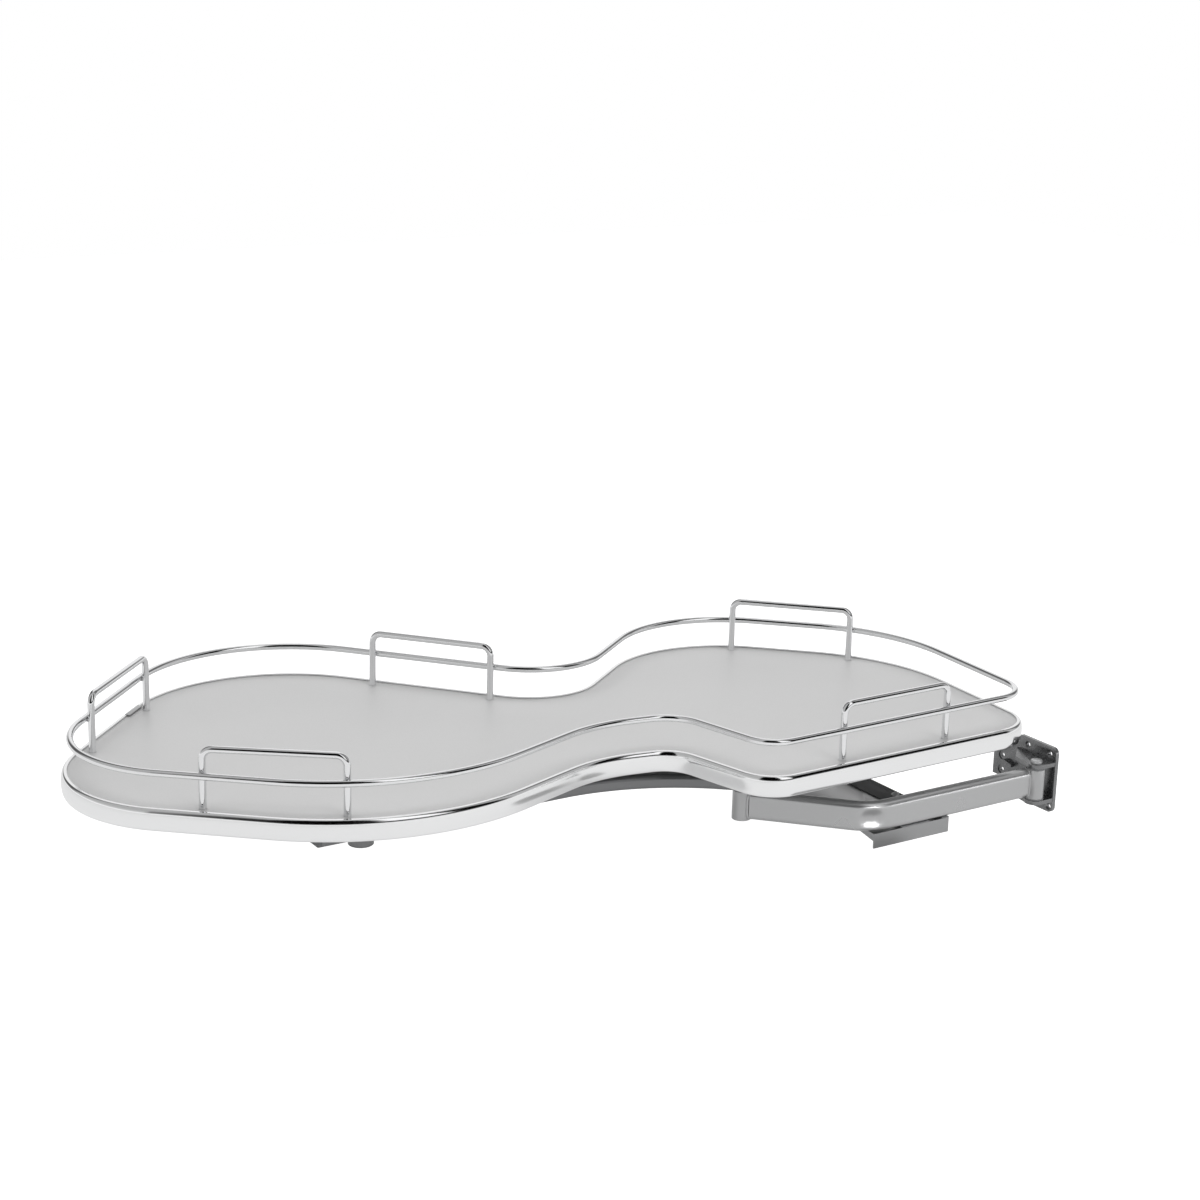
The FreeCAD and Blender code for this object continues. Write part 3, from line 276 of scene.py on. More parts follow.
ARM_PAINT = Finish(
    "arm_paint", "painted_tube", Pattern.PAINT, (0.47, 0.473, 0.477),
    metallic=0.80, roughness=0.29, grain=900.0, depth=0.006, uneven=0.05)
# Painted shade: the arm's silver paint made darker to stand in for the shade under the tray, on the link
# tube and its boss.
LINK_PAINT_SHADED = Finish(
    "link_paint_shaded", "painted_link", Pattern.PAINT, (0.22, 0.223, 0.227),
    metallic=0.80, roughness=0.34, grain=900.0, depth=0.006, uneven=0.05)
# Painted shade: the arm's silver, darkened to stand in for the shade that the bracket sits in under the ear
# and the tray.
CAST_PAINT_SHADED = Finish(
    "cast_paint_shaded", "painted_casting", Pattern.CAST, (0.235, 0.237, 0.241),
    metallic=0.90, roughness=0.28, grain=700.0, depth=0.06, uneven=0.05)
# Painted shade: the arm's silver paint, same slot, made darker so that the sheet's top reads as shaded
# under the tray.
SHEET_PAINT_SHADED = Finish(
    "sheet_paint_shaded", "painted_tube", Pattern.PAINT, (0.37, 0.373, 0.377),
    metallic=0.92, roughness=0.30, grain=700.0, depth=0.01, uneven=0.05)
PIN_STEEL = Finish(
    "pin_steel", "pin_steel", Pattern.TURNED, (0.50, 0.505, 0.515),
    metallic=1.0, roughness=0.30, grain=3000.0, depth=0.01, uneven=0.08)
SCREW_STEEL = Finish(
    "screw_steel", "screw_steel", Pattern.TURNED, (0.52, 0.525, 0.53),
    metallic=1.0, roughness=0.28, grain=2500.0, depth=0.01, uneven=0.08)
DARK_PLASTIC = Finish(
    "dark_plastic", "dark_plastic", Pattern.MOULDED, (0.050, 0.051, 0.053),
    metallic=0.0, roughness=0.5, grain=1800.0, depth=0.02)
BUFFER_RUBBER = Finish(
    "buffer_rubber", "buffer_rubber", Pattern.MOULDED, (0.022, 0.023, 0.024),
    metallic=0.0, roughness=0.7, grain=1200.0, depth=0.04)
BOARD_GREY = Finish(
    "board_grey", "grey_board", Pattern.LAMINATE, (0.62, 0.62, 0.62),
    metallic=0.0, roughness=0.42, grain=1600.0, depth=0.012, uneven=0.03, gloss_change=0.08)

SLOT_FINISHES = {
    finish.slot: finish
    for finish in (CHROME_BAND, CHROME_WIRE, ARM_PAINT, LINK_PAINT_SHADED, CAST_PAINT_SHADED, PIN_STEEL, SCREW_STEEL,
                   DARK_PLASTIC, BUFFER_RUBBER, BOARD_GREY)
}


# Modelling bench


def focus(piece: bpy.types.Object) -> None:
    """Make one piece the only selected and the active one.

    Args:
        piece: The piece to work on.
    """
    if bpy.context.object and bpy.context.object.mode != "OBJECT":
        bpy.ops.object.mode_set(mode="OBJECT")
    bpy.ops.object.select_all(action="DESELECT")
    piece.select_set(True)
    bpy.context.view_layer.objects.active = piece


def edit(kind: str = "VERT") -> None:
    """Go into edit mode with everything selected.

    Args:
        kind: VERT, EDGE or FACE.
    """
    bpy.ops.object.mode_set(mode="EDIT")
    bpy.ops.mesh.select_mode(type=kind)
    bpy.ops.mesh.select_all(action="SELECT")


def leave() -> None:
    """Go back to object mode."""
    bpy.ops.object.mode_set(mode="OBJECT")


def settle(piece: bpy.types.Object) -> bpy.types.Object:
    """Put a piece's place, turn and scale into its mesh.

    Args:
        piece: The piece, wherever it stands.

    Returns:
        The same piece at the origin, unturned and unscaled.
    """
    focus(piece)
    bpy.ops.object.transform_apply(location=True, rotation=True, scale=True)
    return piece


def pick_faces(piece: bpy.types.Object, wanted: Callable[[Vector, Vector], bool]) -> None:
    """Select faces by their centre and normal and stay in edit mode.

    Args:
        piece: The active piece.
        wanted: A test of a face's centre and normal.
    """
    edit("FACE")
    bpy.ops.mesh.select_all(action="DESELECT")
    leave()
    for face in piece.data.polygons:
        face.select = wanted(face.center, face.normal)
    bpy.ops.object.mode_set(mode="EDIT")


def pick_edges(piece: bpy.types.Object, wanted: Callable[[Vector, Vector], bool]) -> None:
    """Select edges by their two ends and stay in edit mode.

    Args:
        piece: The active piece.
        wanted: A test of an edge's two ends.
    """
    edit("EDGE")
    bpy.ops.mesh.select_all(action="DESELECT")
    leave()
    points = piece.data.vertices
    for edge in piece.data.edges:
        edge.select = wanted(points[edge.vertices[0]].co, points[edge.vertices[1]].co)
    bpy.ops.object.mode_set(mode="EDIT")


def pick_points(piece: bpy.types.Object, wanted: Callable[[Vector], bool]) -> None:
    """Select points by their place and stay in edit mode.

    Args:
        piece: The active piece.
        wanted: A test of a point's place.
    """
    edit("VERT")
    bpy.ops.mesh.select_all(action="DESELECT")
    leave()
    for point in piece.data.vertices:
        point.select = wanted(point.co)
    bpy.ops.object.mode_set(mode="EDIT")


def bevel_all(piece: bpy.types.Object, width: float, segments: int) -> None:
    """Round every sharp edge.

    Args:
        piece: The piece to round.
        width: Width of the rounding in millimetres.
        segments: Faces across the rounding.
    """
    focus(piece)
    rounding = piece.modifiers.new("edge_rounding", "BEVEL")
    rounding.width = width * MM
    rounding.segments = segments
    rounding.limit_method = "ANGLE"
    rounding.angle_limit = SHARP
    rounding.use_clamp_overlap = True
    bpy.ops.object.modifier_apply(modifier=rounding.name)


def outward(piece: bpy.types.Object) -> None:
    """Merge doubles and turn all faces outwards.

    Args:
        piece: The piece to put right.
    """
    focus(piece)
    edit()
    bpy.ops.mesh.remove_doubles(threshold=SAME_POINT)
    bpy.ops.mesh.normals_make_consistent(inside=False)
    leave()


def joined(name: str, pieces: Sequence[bpy.types.Object]) -> bpy.types.Object:
    """Several meshes as one piece.

    Args:
        name: The new piece's name.
        pieces: The meshes, of which the first takes the others in.

    Returns:
        The joined piece.
    """
    focus(pieces[0])
    for piece in pieces[1:]:
        piece.select_set(True)
    if len(pieces) > 1:
        bpy.ops.object.join()
    pieces[0].name = name
    return pieces[0]


def copy_to(piece: bpy.types.Object, place: Matrix) -> bpy.types.Object:
    """A copy of a piece with its own mesh at another place.

    Args:
        piece: The model of the copies, settled at its own place.
        place: Where the copy goes.

    Returns:
        The copy.
    """
    twin = bpy.data.objects.new(piece.name + "_copy", piece.data.copy())
    bpy.context.scene.collection.objects.link(twin)
    twin.data.transform(place)
    return twin


def finished(
    piece: bpy.types.Object,
    name: str,
    body: str,
    finish: Finish,
    nodes: Sequence[str] = (),
) -> bpy.types.Object:
    """Name, smooth, paint and mount a finished piece.

    Args:
        piece: The mesh in place.
        name: Its name.
        body: The moving body that it rides on.
        finish: Its finish.
        nodes: The solids that it stands for.

    Returns:
        The piece.
    """
    settle(piece)
    piece.name = name
    piece.data.name = name
    bpy.ops.object.shade_smooth_by_angle(angle=SHARP)
    piece.data.materials.clear()
    piece.data.materials.append(finish.material())
    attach(piece, body)
    if nodes:
        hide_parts(*nodes)
    log.info("%s: %d faces on %s", name, len(piece.data.polygons), body)
    return piece


def solid_copy(node: str, rounding: float, segments: int = 2) -> bpy.types.Object:
    """A merged copy of a solid with its flat faces whole and its edges rounded.

    Args:
        node: The solid's name.
        rounding: Width of the rounding in millimetres, or 0 for none.
        segments: Faces across the rounding.

    Returns:
        The copy, not yet mounted.
    """
    source = frame["nodes"][node]
    copy = bpy.data.objects.new(node + "_dressed", source.data.copy())
    bpy.context.scene.collection.objects.link(copy)
    focus(copy)
    edit()
    bpy.ops.mesh.remove_doubles(threshold=SAME_CORNER)
    bpy.ops.mesh.dissolve_limited(angle_limit=FLAT)
    leave()
    if rounding > 0:
        bevel_all(copy, rounding, segments)
    return copy


def dressed(node: str, name: str, body: str, finish: Finish, rounding: float, segments: int = 2) -> None:
    """A rounded copy of a solid in the solid's place.

    Args:
        node: The solid's name.
        name: The copy's name.
        body: The moving body that it rides on.
        finish: Its finish.
        rounding: Width of the rounding in millimetres, or 0 for none.
        segments: Faces across the rounding.
    """
    finished(solid_copy(node, rounding, segments), name, body, finish, [node])


class Sweep:
    """A section drawn along a way: straights are extruded and bends are spun."""

    def __init__(self, ring: bpy.types.Object) -> None:
        """Take a ring of edges that stands at the start of the way.

        Args:
            ring: The ring, settled in place.
        """
        self.piece = ring
        self.ring_size = len(ring.data.vertices)
        focus(ring)
        edit("EDGE")

    def straight(self, step: Vector) -> None:
        """Draw the ring along a straight."""
        bpy.ops.mesh.extrude_region_move(TRANSFORM_OT_translate={"value": step})

    def bend(self, centre: Vector, axis: Vector, angle: float, turn_step: float = 2.5) -> None:
        """Draw the ring round a bend.

        Args:
            centre: A point on the bend's axis.
            axis: The axis to turn about.
            angle: The turn in radians, counter-clockwise about the axis.
            turn_step: Degrees between two rings.
        """
        steps = max(2, math.ceil(abs(math.degrees(angle)) / turn_step))
        bpy.ops.mesh.spin(steps=steps, angle=-angle, center=centre, axis=axis, use_auto_merge=False)

    def capped(self) -> bpy.types.Object:
        """Close both ends and turn the faces outwards.

        Returns:
            The closed piece.
        """
        bpy.ops.mesh.edge_face_add()
        edit()
        bpy.ops.mesh.select_all(action="DESELECT")
        leave()
        for point in self.piece.data.vertices:
            point.select = point.index < self.ring_size
        bpy.ops.object.mode_set(mode="EDIT")
        bpy.ops.mesh.edge_face_add()
        leave()
        outward(self.piece)
        return self.piece

    def closed(self) -> bpy.types.Object:
        """Join the last ring to the first one.

        Returns:
            The closed piece.
        """
        leave()
        outward(self.piece)
        return self.piece


def round_ring(name: str, place: Vector, along: Vector, radius: float, count: int) -> bpy.types.Object:
    """A ring of edges square to a direction.

    Args:
        name: The ring's name.
        place: Its middle in metres.
        along: The direction that it looks in.
        radius: Its radius in millimetres.
        count: Its number of points.

    Returns:
        The settled ring.
    """
    turn = along.to_track_quat("Z", "Y").to_euler()
    bpy.ops.mesh.primitive_circle_add(vertices=count, radius=radius * MM, location=place, rotation=turn)
    ring = bpy.context.object
    ring.name = name
    return settle(ring)


def profile_ring(name: str, points: Sequence[Vector]) -> bpy.types.Object:
    """A ring of edges through given points of a section.

    Args:
        name: The ring's name.
        points: The section's points in order, in metres.

    Returns:
        The settled ring.
    """
    bpy.ops.mesh.primitive_circle_add(vertices=len(points), radius=MM)
    ring = settle(bpy.context.object)
    ring.name = name
    for vertex, point in zip(ring.data.vertices, points):
        vertex.co = point
    return ring


def cylinder(name: str, middle: Vector, radius: float, height: float, count: int) -> bpy.types.Object:
    """A closed upright cylinder.

    Args:
        name: Its name.
        middle: Its middle in metres.
        radius: Its radius in millimetres.
        height: Its height in millimetres.
        count: Faces round it.

    Returns:
        The settled cylinder.
    """
    bpy.ops.mesh.primitive_cylinder_add(
        vertices=count, radius=radius * MM, depth=height * MM, location=middle)
    piece = bpy.context.object
    piece.name = name
    return settle(piece)


def wire_loop(name: str, points: Sequence[Vector], radius: float) -> bpy.types.Object:
    """A closed round bead through given points.

    Args:
        name: Its name.
        points: The bead's middle line in metres.
        radius: Its radius in millimetres.

    Returns:
        The bead as a mesh.
    """
    curve = bpy.data.curves.new(name, "CURVE")
    curve.dimensions = "3D"
    spline = curve.splines.new("POLY")
    spline.points.add(len(points) - 1)
    for knot, point in zip(spline.points, points):
        knot.co = (*point, 1.0)
    spline.use_cyclic_u = True
    curve.bevel_depth = radius * MM
    curve.bevel_resolution = 3
    bead = bpy.data.objects.new(name, curve)
    bpy.context.scene.collection.objects.link(bead)
    focus(bead)
    bpy.ops.object.convert(target="MESH")
    return bpy.context.object


def subtract(piece: bpy.types.Object, tool: bpy.types.Object) -> None:
    """Cut a tool out of a piece and throw the tool away.

    Args:
        piece: The piece that is cut.
        tool: The shape that comes out of it.
    """
    focus(piece)
    cutter = piece.modifiers.new("cut", "BOOLEAN")
    cutter.operation = "DIFFERENCE"
    cutter.solver = "EXACT"
    cutter.object = tool
    bpy.ops.object.modifier_apply(modifier=cutter.name)
    bpy.data.objects.remove(tool)


# The tray's outline


@dataclass(frozen=True)
class Bend:
    """One rounded corner of a way: where its arc starts, turns about and ends."""

    start: Vector
    centre: Vector
    end: Vector
    turn: float


@dataclass(frozen=True)
class TrayOutline:
    """The two-lobed outline of the tray: corners (x, y, rounding) in clockwise order.

    Roundings that need more than `side_share` of the side between them shrink to it.
    """

    corners: tuple[tuple[float, float, float], ...] = (
        (-670.0, 51.0, 225.0),
        (-937.0, 284.0, 112.0),
        (-645.0, 581.0, 149.0),
        (-386.0, 274.0, 74.0),
        (-191.0, 422.0, 129.0),
        (-3.0, 241.0, 177.0),
        (-19.0, 10.0, 43.0),
        (-341.0, 7.0, 35.0),
        (-368.0, 117.0, 37.0),
        (-446.0, 131.0, 142.0),
    )
    side_share: float = 0.98

    def bends(self) -> list[Bend]:
        """The arcs that round the corners, each small enough for the sides beside it.

        Returns:
            One bend for each corner, in order.
        """
        points = [Vector((x, y, 0.0)) * MM for x, y, _ in self.corners]
        count = len(points)
        reaches = []
        halves = []
        for i, (_, _, rounding) in enumerate(self.corners):
            back = points[i - 1] - points[i]
            ahead = points[(i + 1) % count] - points[i]
            halves.append(back.angle(ahead) / 2)
            reaches.append(rounding * MM / math.tan(halves[i]))
        shares = [1.0] * count
        for i in range(count):
            after = (i + 1) % count
            side = (points[after] - points[i]).length
            share = self.side_share * side / (reaches[i] + reaches[after])
            shares[i] = min(shares[i], share)
            shares[after] = min(shares[after], share)
        made = []
        for i, here in enumerate(points):
            back = (points[i - 1] - here).normalized()
            ahead = (points[(i + 1) % count] - here).normalized()
            radius = self.corners[i][2] * MM * shares[i]
            reach = radius / math.tan(halves[i])
            centre = here + (back + ahead).normalized() * (radius / math.sin(halves[i]))
            side = math.copysign(1.0, (-back).cross(ahead).z)
            turn = side * (math.pi - 2 * halves[i])
            made.append(Bend(here + back * reach, centre, here + ahead * reach, turn))
        return made

    def sweep(self, name: str, section: Sequence[tuple[float, float]]) -> bpy.types.Object:
        """Draw a section all round the outline.

        Args:
            name: The piece's name.
            section: Points (outwards from the outline, height) in millimetres, in order.

        Returns:
            The closed ring.
        """
        bends = self.bends()
        start = bends[0].end
        along = (bends[1].start - start).normalized()
        side = UP.cross(along)
        ring = profile_ring(name, [start + (side * out + UP * level) * MM for out, level in section])
        sweep = Sweep(ring)
        for i in range(1, len(bends) + 1):
            bend = bends[i % len(bends)]
            sweep.straight(bend.start - bends[i - 1].end)
            sweep.bend(bend.centre, UP, bend.turn)
        return sweep.closed()


# Small fasteners


class ScrewHead(Enum):
    """How a screw's head is shaped."""

    PAN = "a low dome"
    FLAT = "a countersunk cone"


@dataclass
class CrossScrew:
    """A screw with a cross recess, modelled once and copied to its places."""

    head: ScrewHead
    head_radius: float = 4.0
    shank_radius: float = 2.0
    head_height: float = 2.2
    shank_length: float = 8.0
    recess_width: float = 0.9
    recess_reach: float = 2.3
    recess_depth: float = 1.3
    end_clearance: float = 0.4
    end_rounding: float = 0.35
    head_faces: int = 32
    shank_faces: int = 24

    def model(self) -> bpy.types.Object:
        """One screw at the origin: its head's seat lies at z 0 and its shank points up.

        Returns:
            The screw.
        """
        if self.head is ScrewHead.PAN:
            bpy.ops.mesh.primitive_uv_sphere_add(
                segments=self.head_faces, ring_count=self.head_faces // 2, radius=self.head_radius * MM)
            head = bpy.context.object
            head.scale.z = self.head_height / self.head_radius
            settle(head)
            edit()
            bpy.ops.mesh.bisect(plane_co=(0, 0, 0), plane_no=(0, 0, 1), clear_outer=True, use_fill=True)
            leave()
            face_level = -self.head_height
        else:
            depth = (self.head_radius - self.shank_radius) * MM
            bpy.ops.mesh.primitive_cone_add(
                vertices=self.head_faces, radius1=self.head_radius * MM, radius2=self.shank_radius * MM,
                depth=depth, location=(0, 0, depth / 2))
            head = settle(bpy.context.object)
            face_level = 0.0
        bpy.ops.mesh.primitive_cube_add(size=MM, location=(0, 0, face_level * MM))
        cross = bpy.context.object
        cross.scale = (2 * self.recess_reach, self.recess_width, 2 * self.recess_depth)
        settle(cross)
        other = copy_to(cross, Matrix.Rotation(math.pi / 2, 4, "Z"))
        subtract(head, cross)
        subtract(head, other)
        middle = UP * self.shank_length / 2 * MM
        shank = cylinder("shank", middle, self.shank_radius, self.shank_length, self.shank_faces)
        pick_faces(shank, lambda centre, normal: normal.z > FACING)
        bpy.ops.mesh.inset(thickness=self.end_clearance * MM)
        bpy.ops.transform.translate(value=(0, 0, self.end_rounding * MM))
        leave()
        return joined("screw", [head, shank])

    def at(self, name: str, places: Sequence[Matrix]) -> bpy.types.Object:
        """Copies of the screw as one piece.

        Args:
            name: The piece's name.
            places: Where each copy goes.

        Returns:
            The joined copies.
        """
        model = self.model()
        copies = [copy_to(model, place) for place in places]
        bpy.data.objects.remove(model)
        return joined(name, copies)


# Sub-assemblies


@dataclass
class WallBracket:
    """The cast wall bracket with the hinge pin."""

    rounding: float = 0.9
    head_radius: float = 5.8
    head_height: float = 3.0
    head_edge: float = 1.1
    head_faces: int = 48
    edge_steps: int = 4

    def casting(self) -> None:
        """The bracket with rounded cast edges."""
        # The casting takes the silver darkened as painted shade.
        dressed("hinge_bracket", "bracket_casting", "bracket", CAST_PAINT_SHADED, self.rounding, 3)

    def pin(self) -> None:
        """The hinge pin with its domed head."""
        low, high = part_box("hinge_pin")
        axis = Vector(((low.x + high.x) / 2, (low.y + high.y) / 2, 0.0))
        seat = high.z / MM - self.head_height
        shaft = solid_copy("hinge_pin", 0.0)
        middle = axis + UP * (seat + self.head_height / 2) * MM
        head = cylinder("pin_head", middle, self.head_radius, self.head_height, self.head_faces)
        pick_faces(head, lambda centre, normal: normal.z > FACING)
        bpy.ops.mesh.bevel(offset=self.head_edge * MM, segments=self.edge_steps, affect="EDGES")
        leave()
        pick_points(shaft, lambda point: point.z > (seat + HAIR) * MM)
        bpy.ops.mesh.delete(type="VERT")
        leave()
        piece = joined("hinge_pin_dressed", [shaft, head])
        finished(piece, "hinge_pin_turned", "bracket", PIN_STEEL, ["hinge_pin"])

    def build(self) -> None:
        """Build the bracket's pieces."""
        self.casting()
        self.pin()


@dataclass
class SwingArm:
    """The bent tube under the link arm with its barrels, welds and folded sheet."""

    hinge: tuple[float, float] = (-19.5, 0.0)
    setback: float = 4.5
    level: float = -1.5
    corner: float = -221.1
    tip: tuple[float, float] = (-305.5, 93.5)
    bend_radius: float = 45.0
    width: float = 14.0
    height: float = 28.0
    edge_radius: float = 5.0
    edge_steps: int = 6
    side_cuts: int = 7
    barrel_radius: float = 9.2
    barrel_gap: float = 8.2
    sink: float = 2.6
    dent_shift: float = -1.5
    dent_reach: float = 5.0
    dent_edge: float = 11.0
    dent_half_height: float = 2.5
    steps_before: tuple[float, ...] = (0.55, 0.25, 0.2)
    steps_after: tuple[float, ...] = (0.25, 0.2, 0.55)
    rim_rounding: float = 0.5
    weld_radius: float = 1.5
    weld_squareness: float = 0.45
    weld_inset: tuple[float, float] = (0.4, 0.9)
    weld_margin: float = 0.3
    weld_points: int = 48
    sheet_rounding: float = 0.35
    shim_rounding: float = 0.15
    strip_rounding: float = 0.25
    screw_turns: tuple[float, float] = (0.5, 0.7)

    def way(self) -> tuple[Vector, Bend, Vector]:
        """The tube's way from the hinge barrel to the link barrel.

        Returns:
            The start, the bend and the end.
        """
        spots = ((self.hinge[0], self.setback), (self.corner, self.setback), self.tip)
        here, turn, there = [mm(x, y, self.level) for x, y in spots]
        back, ahead = (here - turn).normalized(), (there - turn).normalized()
        half = back.angle(ahead) / 2
        reach = self.bend_radius * MM / math.tan(half)
        centre = turn + (back + ahead).normalized() * (self.bend_radius * MM / math.sin(half))
        side = math.copysign(1.0, (-back).cross(ahead).z)
        bend = Bend(turn + back * reach, centre, turn + ahead * reach, side * (math.pi - 2 * half))
        return here + mm(-self.barrel_gap, 0.0, 0.0), bend, there - ahead * self.barrel_gap * MM

    def section(self, start: Vector) -> bpy.types.Object:
        """The tube's rounded section as a ring that stands square to X.

        Args:
            start: The middle of the ring.

        Returns:
            The ring with extra points along its tall sides.
        """
        bpy.ops.mesh.primitive_plane_add(size=MM, location=start, rotation=(0.0, math.pi / 2, 0.0))
        ring = bpy.context.object
        ring.name = "arm_section"
        ring.scale = (self.height, self.width, 1.0)
        settle(ring)
        edit("VERT")
        bpy.ops.mesh.bevel(offset=self.edge_radius * MM, segments=self.edge_steps, affect="VERTICES")
        bpy.ops.mesh.select_mode(type="FACE")
        bpy.ops.mesh.select_all(action="SELECT")
        bpy.ops.mesh.delete(type="ONLY_FACE")
        leave()
        pick_edges(ring, lambda a, b: (a - b).length > 2 * self.edge_radius * MM)
        bpy.ops.mesh.subdivide(number_cuts=self.side_cuts)
        leave()
        return ring

    def tube(self) -> None:
        """The bent tube, its wall drawn in a little on the outside of the bend."""
        start, bend, end = self.way()
        sweep = Sweep(self.section(start))
        run = bend.start - start
        for share in self.steps_before:
            sweep.straight(run * share)
        sweep.bend(bend.centre, UP, bend.turn)
        leg = end - bend.end
        for share in self.steps_after:
            sweep.straight(leg * share)
        tube = sweep.capped()
        middle = bend.start - bend.centre
        middle.rotate(Matrix.Rotation(bend.turn / 2, 3, "Z"))
        face = bend.centre + middle.normalized() * (self.bend_radius + self.width / 2) * MM
        face += UP * self.dent_shift * MM
        pick_points(
            tube,
            lambda point: abs(point.z - face.z) < self.dent_half_height * MM
            and (point.xy - face.xy).length < self.dent_reach * MM
            and (point - bend.centre).xy.length > self.bend_radius * MM,
        )
        bpy.ops.transform.translate(
            value=-middle.normalized() * self.sink * MM,
            use_proportional_edit=True,
            use_proportional_connected=True,
            proportional_edit_falloff="SMOOTH",
            proportional_size=self.dent_edge * MM,
        )
        leave()
        finished(tube, "arm_bent_tube", "swing_arm", ARM_PAINT, ["arm_tube"])

    def barrels(self) -> None:
        """The two barrels with softened rims."""
        for node, name in (("arm_hinge_barrel", "hinge_barrel"), ("arm_link_barrel", "link_barrel")):
            dressed(node, name, "swing_arm", ARM_PAINT, self.rim_rounding, 3)

    def welds(self) -> None:
        """The beads where the tube meets its barrels: each follows the tube's section over its barrel."""
        _, bend, end = self.way()
        beads = []
        ends = (
            (mm(*self.hinge, self.level), Vector((-1.0, 0.0, 0.0)), -self.setback),
            (mm(*self.tip, self.level), (bend.end - end).normalized(), 0.0),
        )
        for middle, along, shift in ends:
            side = UP.cross(along)
            reach = self.barrel_radius - self.weld_margin
            points = []
            for i in range(self.weld_points):
                turn = 2 * math.pi * i / self.weld_points
                across, level = [
                    math.copysign(abs(share) ** self.weld_squareness, share)
                    for share in (math.cos(turn), math.sin(turn))
                ]
                across *= self.width / 2 - self.weld_inset[0]
                level *= self.height / 2 - self.weld_inset[1]
                across = min(max(across + shift, -reach), reach)
                out = math.sqrt(self.barrel_radius ** 2 - across ** 2)
                points.append(middle + (along * out + side * across + UP * level) * MM)
            beads.append(wire_loop("weld_bead", points, self.weld_radius))
        bead = joined("arm_welds", beads)
        outward(bead)
        finished(bead, "arm_weld_beads", "swing_arm", ARM_PAINT)

    def sheet(self) -> None:
        """The folded sheet, its shims, strip and screws."""
        # The sheet takes the silver paint darkened as painted shade under the tray.
        dressed("stay_plate", "stay_sheet", "swing_arm", SHEET_PAINT_SHADED, self.sheet_rounding)
        dressed("stay_spacers", "stay_shims", "swing_arm", DARK_PLASTIC, self.shim_rounding)
        dressed("buffer_strip", "stay_buffer", "swing_arm", BUFFER_RUBBER, self.strip_rounding)
        self.screws("stay_screws", "stay_screw_set", False)
        self.screws("strip_screws", "strip_screw_set", True)

    def screws(self, node: str, name: str, from_above: bool) -> None:
        """The two screws of one node with cross recesses.

        Args:
            node: The solids that they stand for.
            name: The new piece's name.
            from_above: Whether their heads are on top and they stand one behind the other.
        """
        low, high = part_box(node)
        screw = CrossScrew(ScrewHead.PAN)
        screw.shank_length = (high.z - low.z) / MM - screw.head_height - screw.end_clearance
        reach = screw.head_radius * MM
        if from_above:
            seat = high.z - screw.head_height * MM
            last = (low.x + reach, high.y - reach)
            turn = Matrix.Rotation(math.pi, 4, "X")
        else:
            seat = low.z + screw.head_height * MM
            last = (high.x - reach, low.y + reach)
            turn = Matrix.Identity(4)
        spots = [Vector((x, y, seat)) for x, y in ((low.x + reach, low.y + reach), last)]
        # The recess of each screw stands at a turn of its own.
        first, more = self.screw_turns
        places = [
            Matrix.Translation(spot) @ Matrix.Rotation(first + more * i, 4, "Z") @ turn
            for i, spot in enumerate(spots)
        ]
        finished(screw.at(name, places), name, "swing_arm", SCREW_STEEL, [node])

    def build(self) -> None:
        """Build the arm's pieces."""
        self.tube()
        self.barrels()
        self.welds()
        self.sheet()


@dataclass
class LinkArm:
    """The flat bent tube over the swing arm with its boss, cap, plugs and glides."""

    rounding: float = 0.5
    cap_rounding: float = 0.3

    def build(self) -> None:
        """Build the link arm's pieces."""
        # The link tube and its boss take the silver paint darkened as painted shade under the tray.
        dressed("link_tube", "link_bent_tube", "link_arm", LINK_PAINT_SHADED, 0.0)
        dressed("tray_pivot_boss", "pivot_boss", "link_arm", LINK_PAINT_SHADED, self.rounding, 3)
        dressed("boss_cap", "boss_end_cap", "link_arm", DARK_PLASTIC, self.cap_rounding)
        dressed("link_end_plugs", "link_plugs", "link_arm", DARK_PLASTIC, self.rounding)
        dressed("glide_pads", "glides", "link_arm", DARK_PLASTIC, self.rounding, 3)


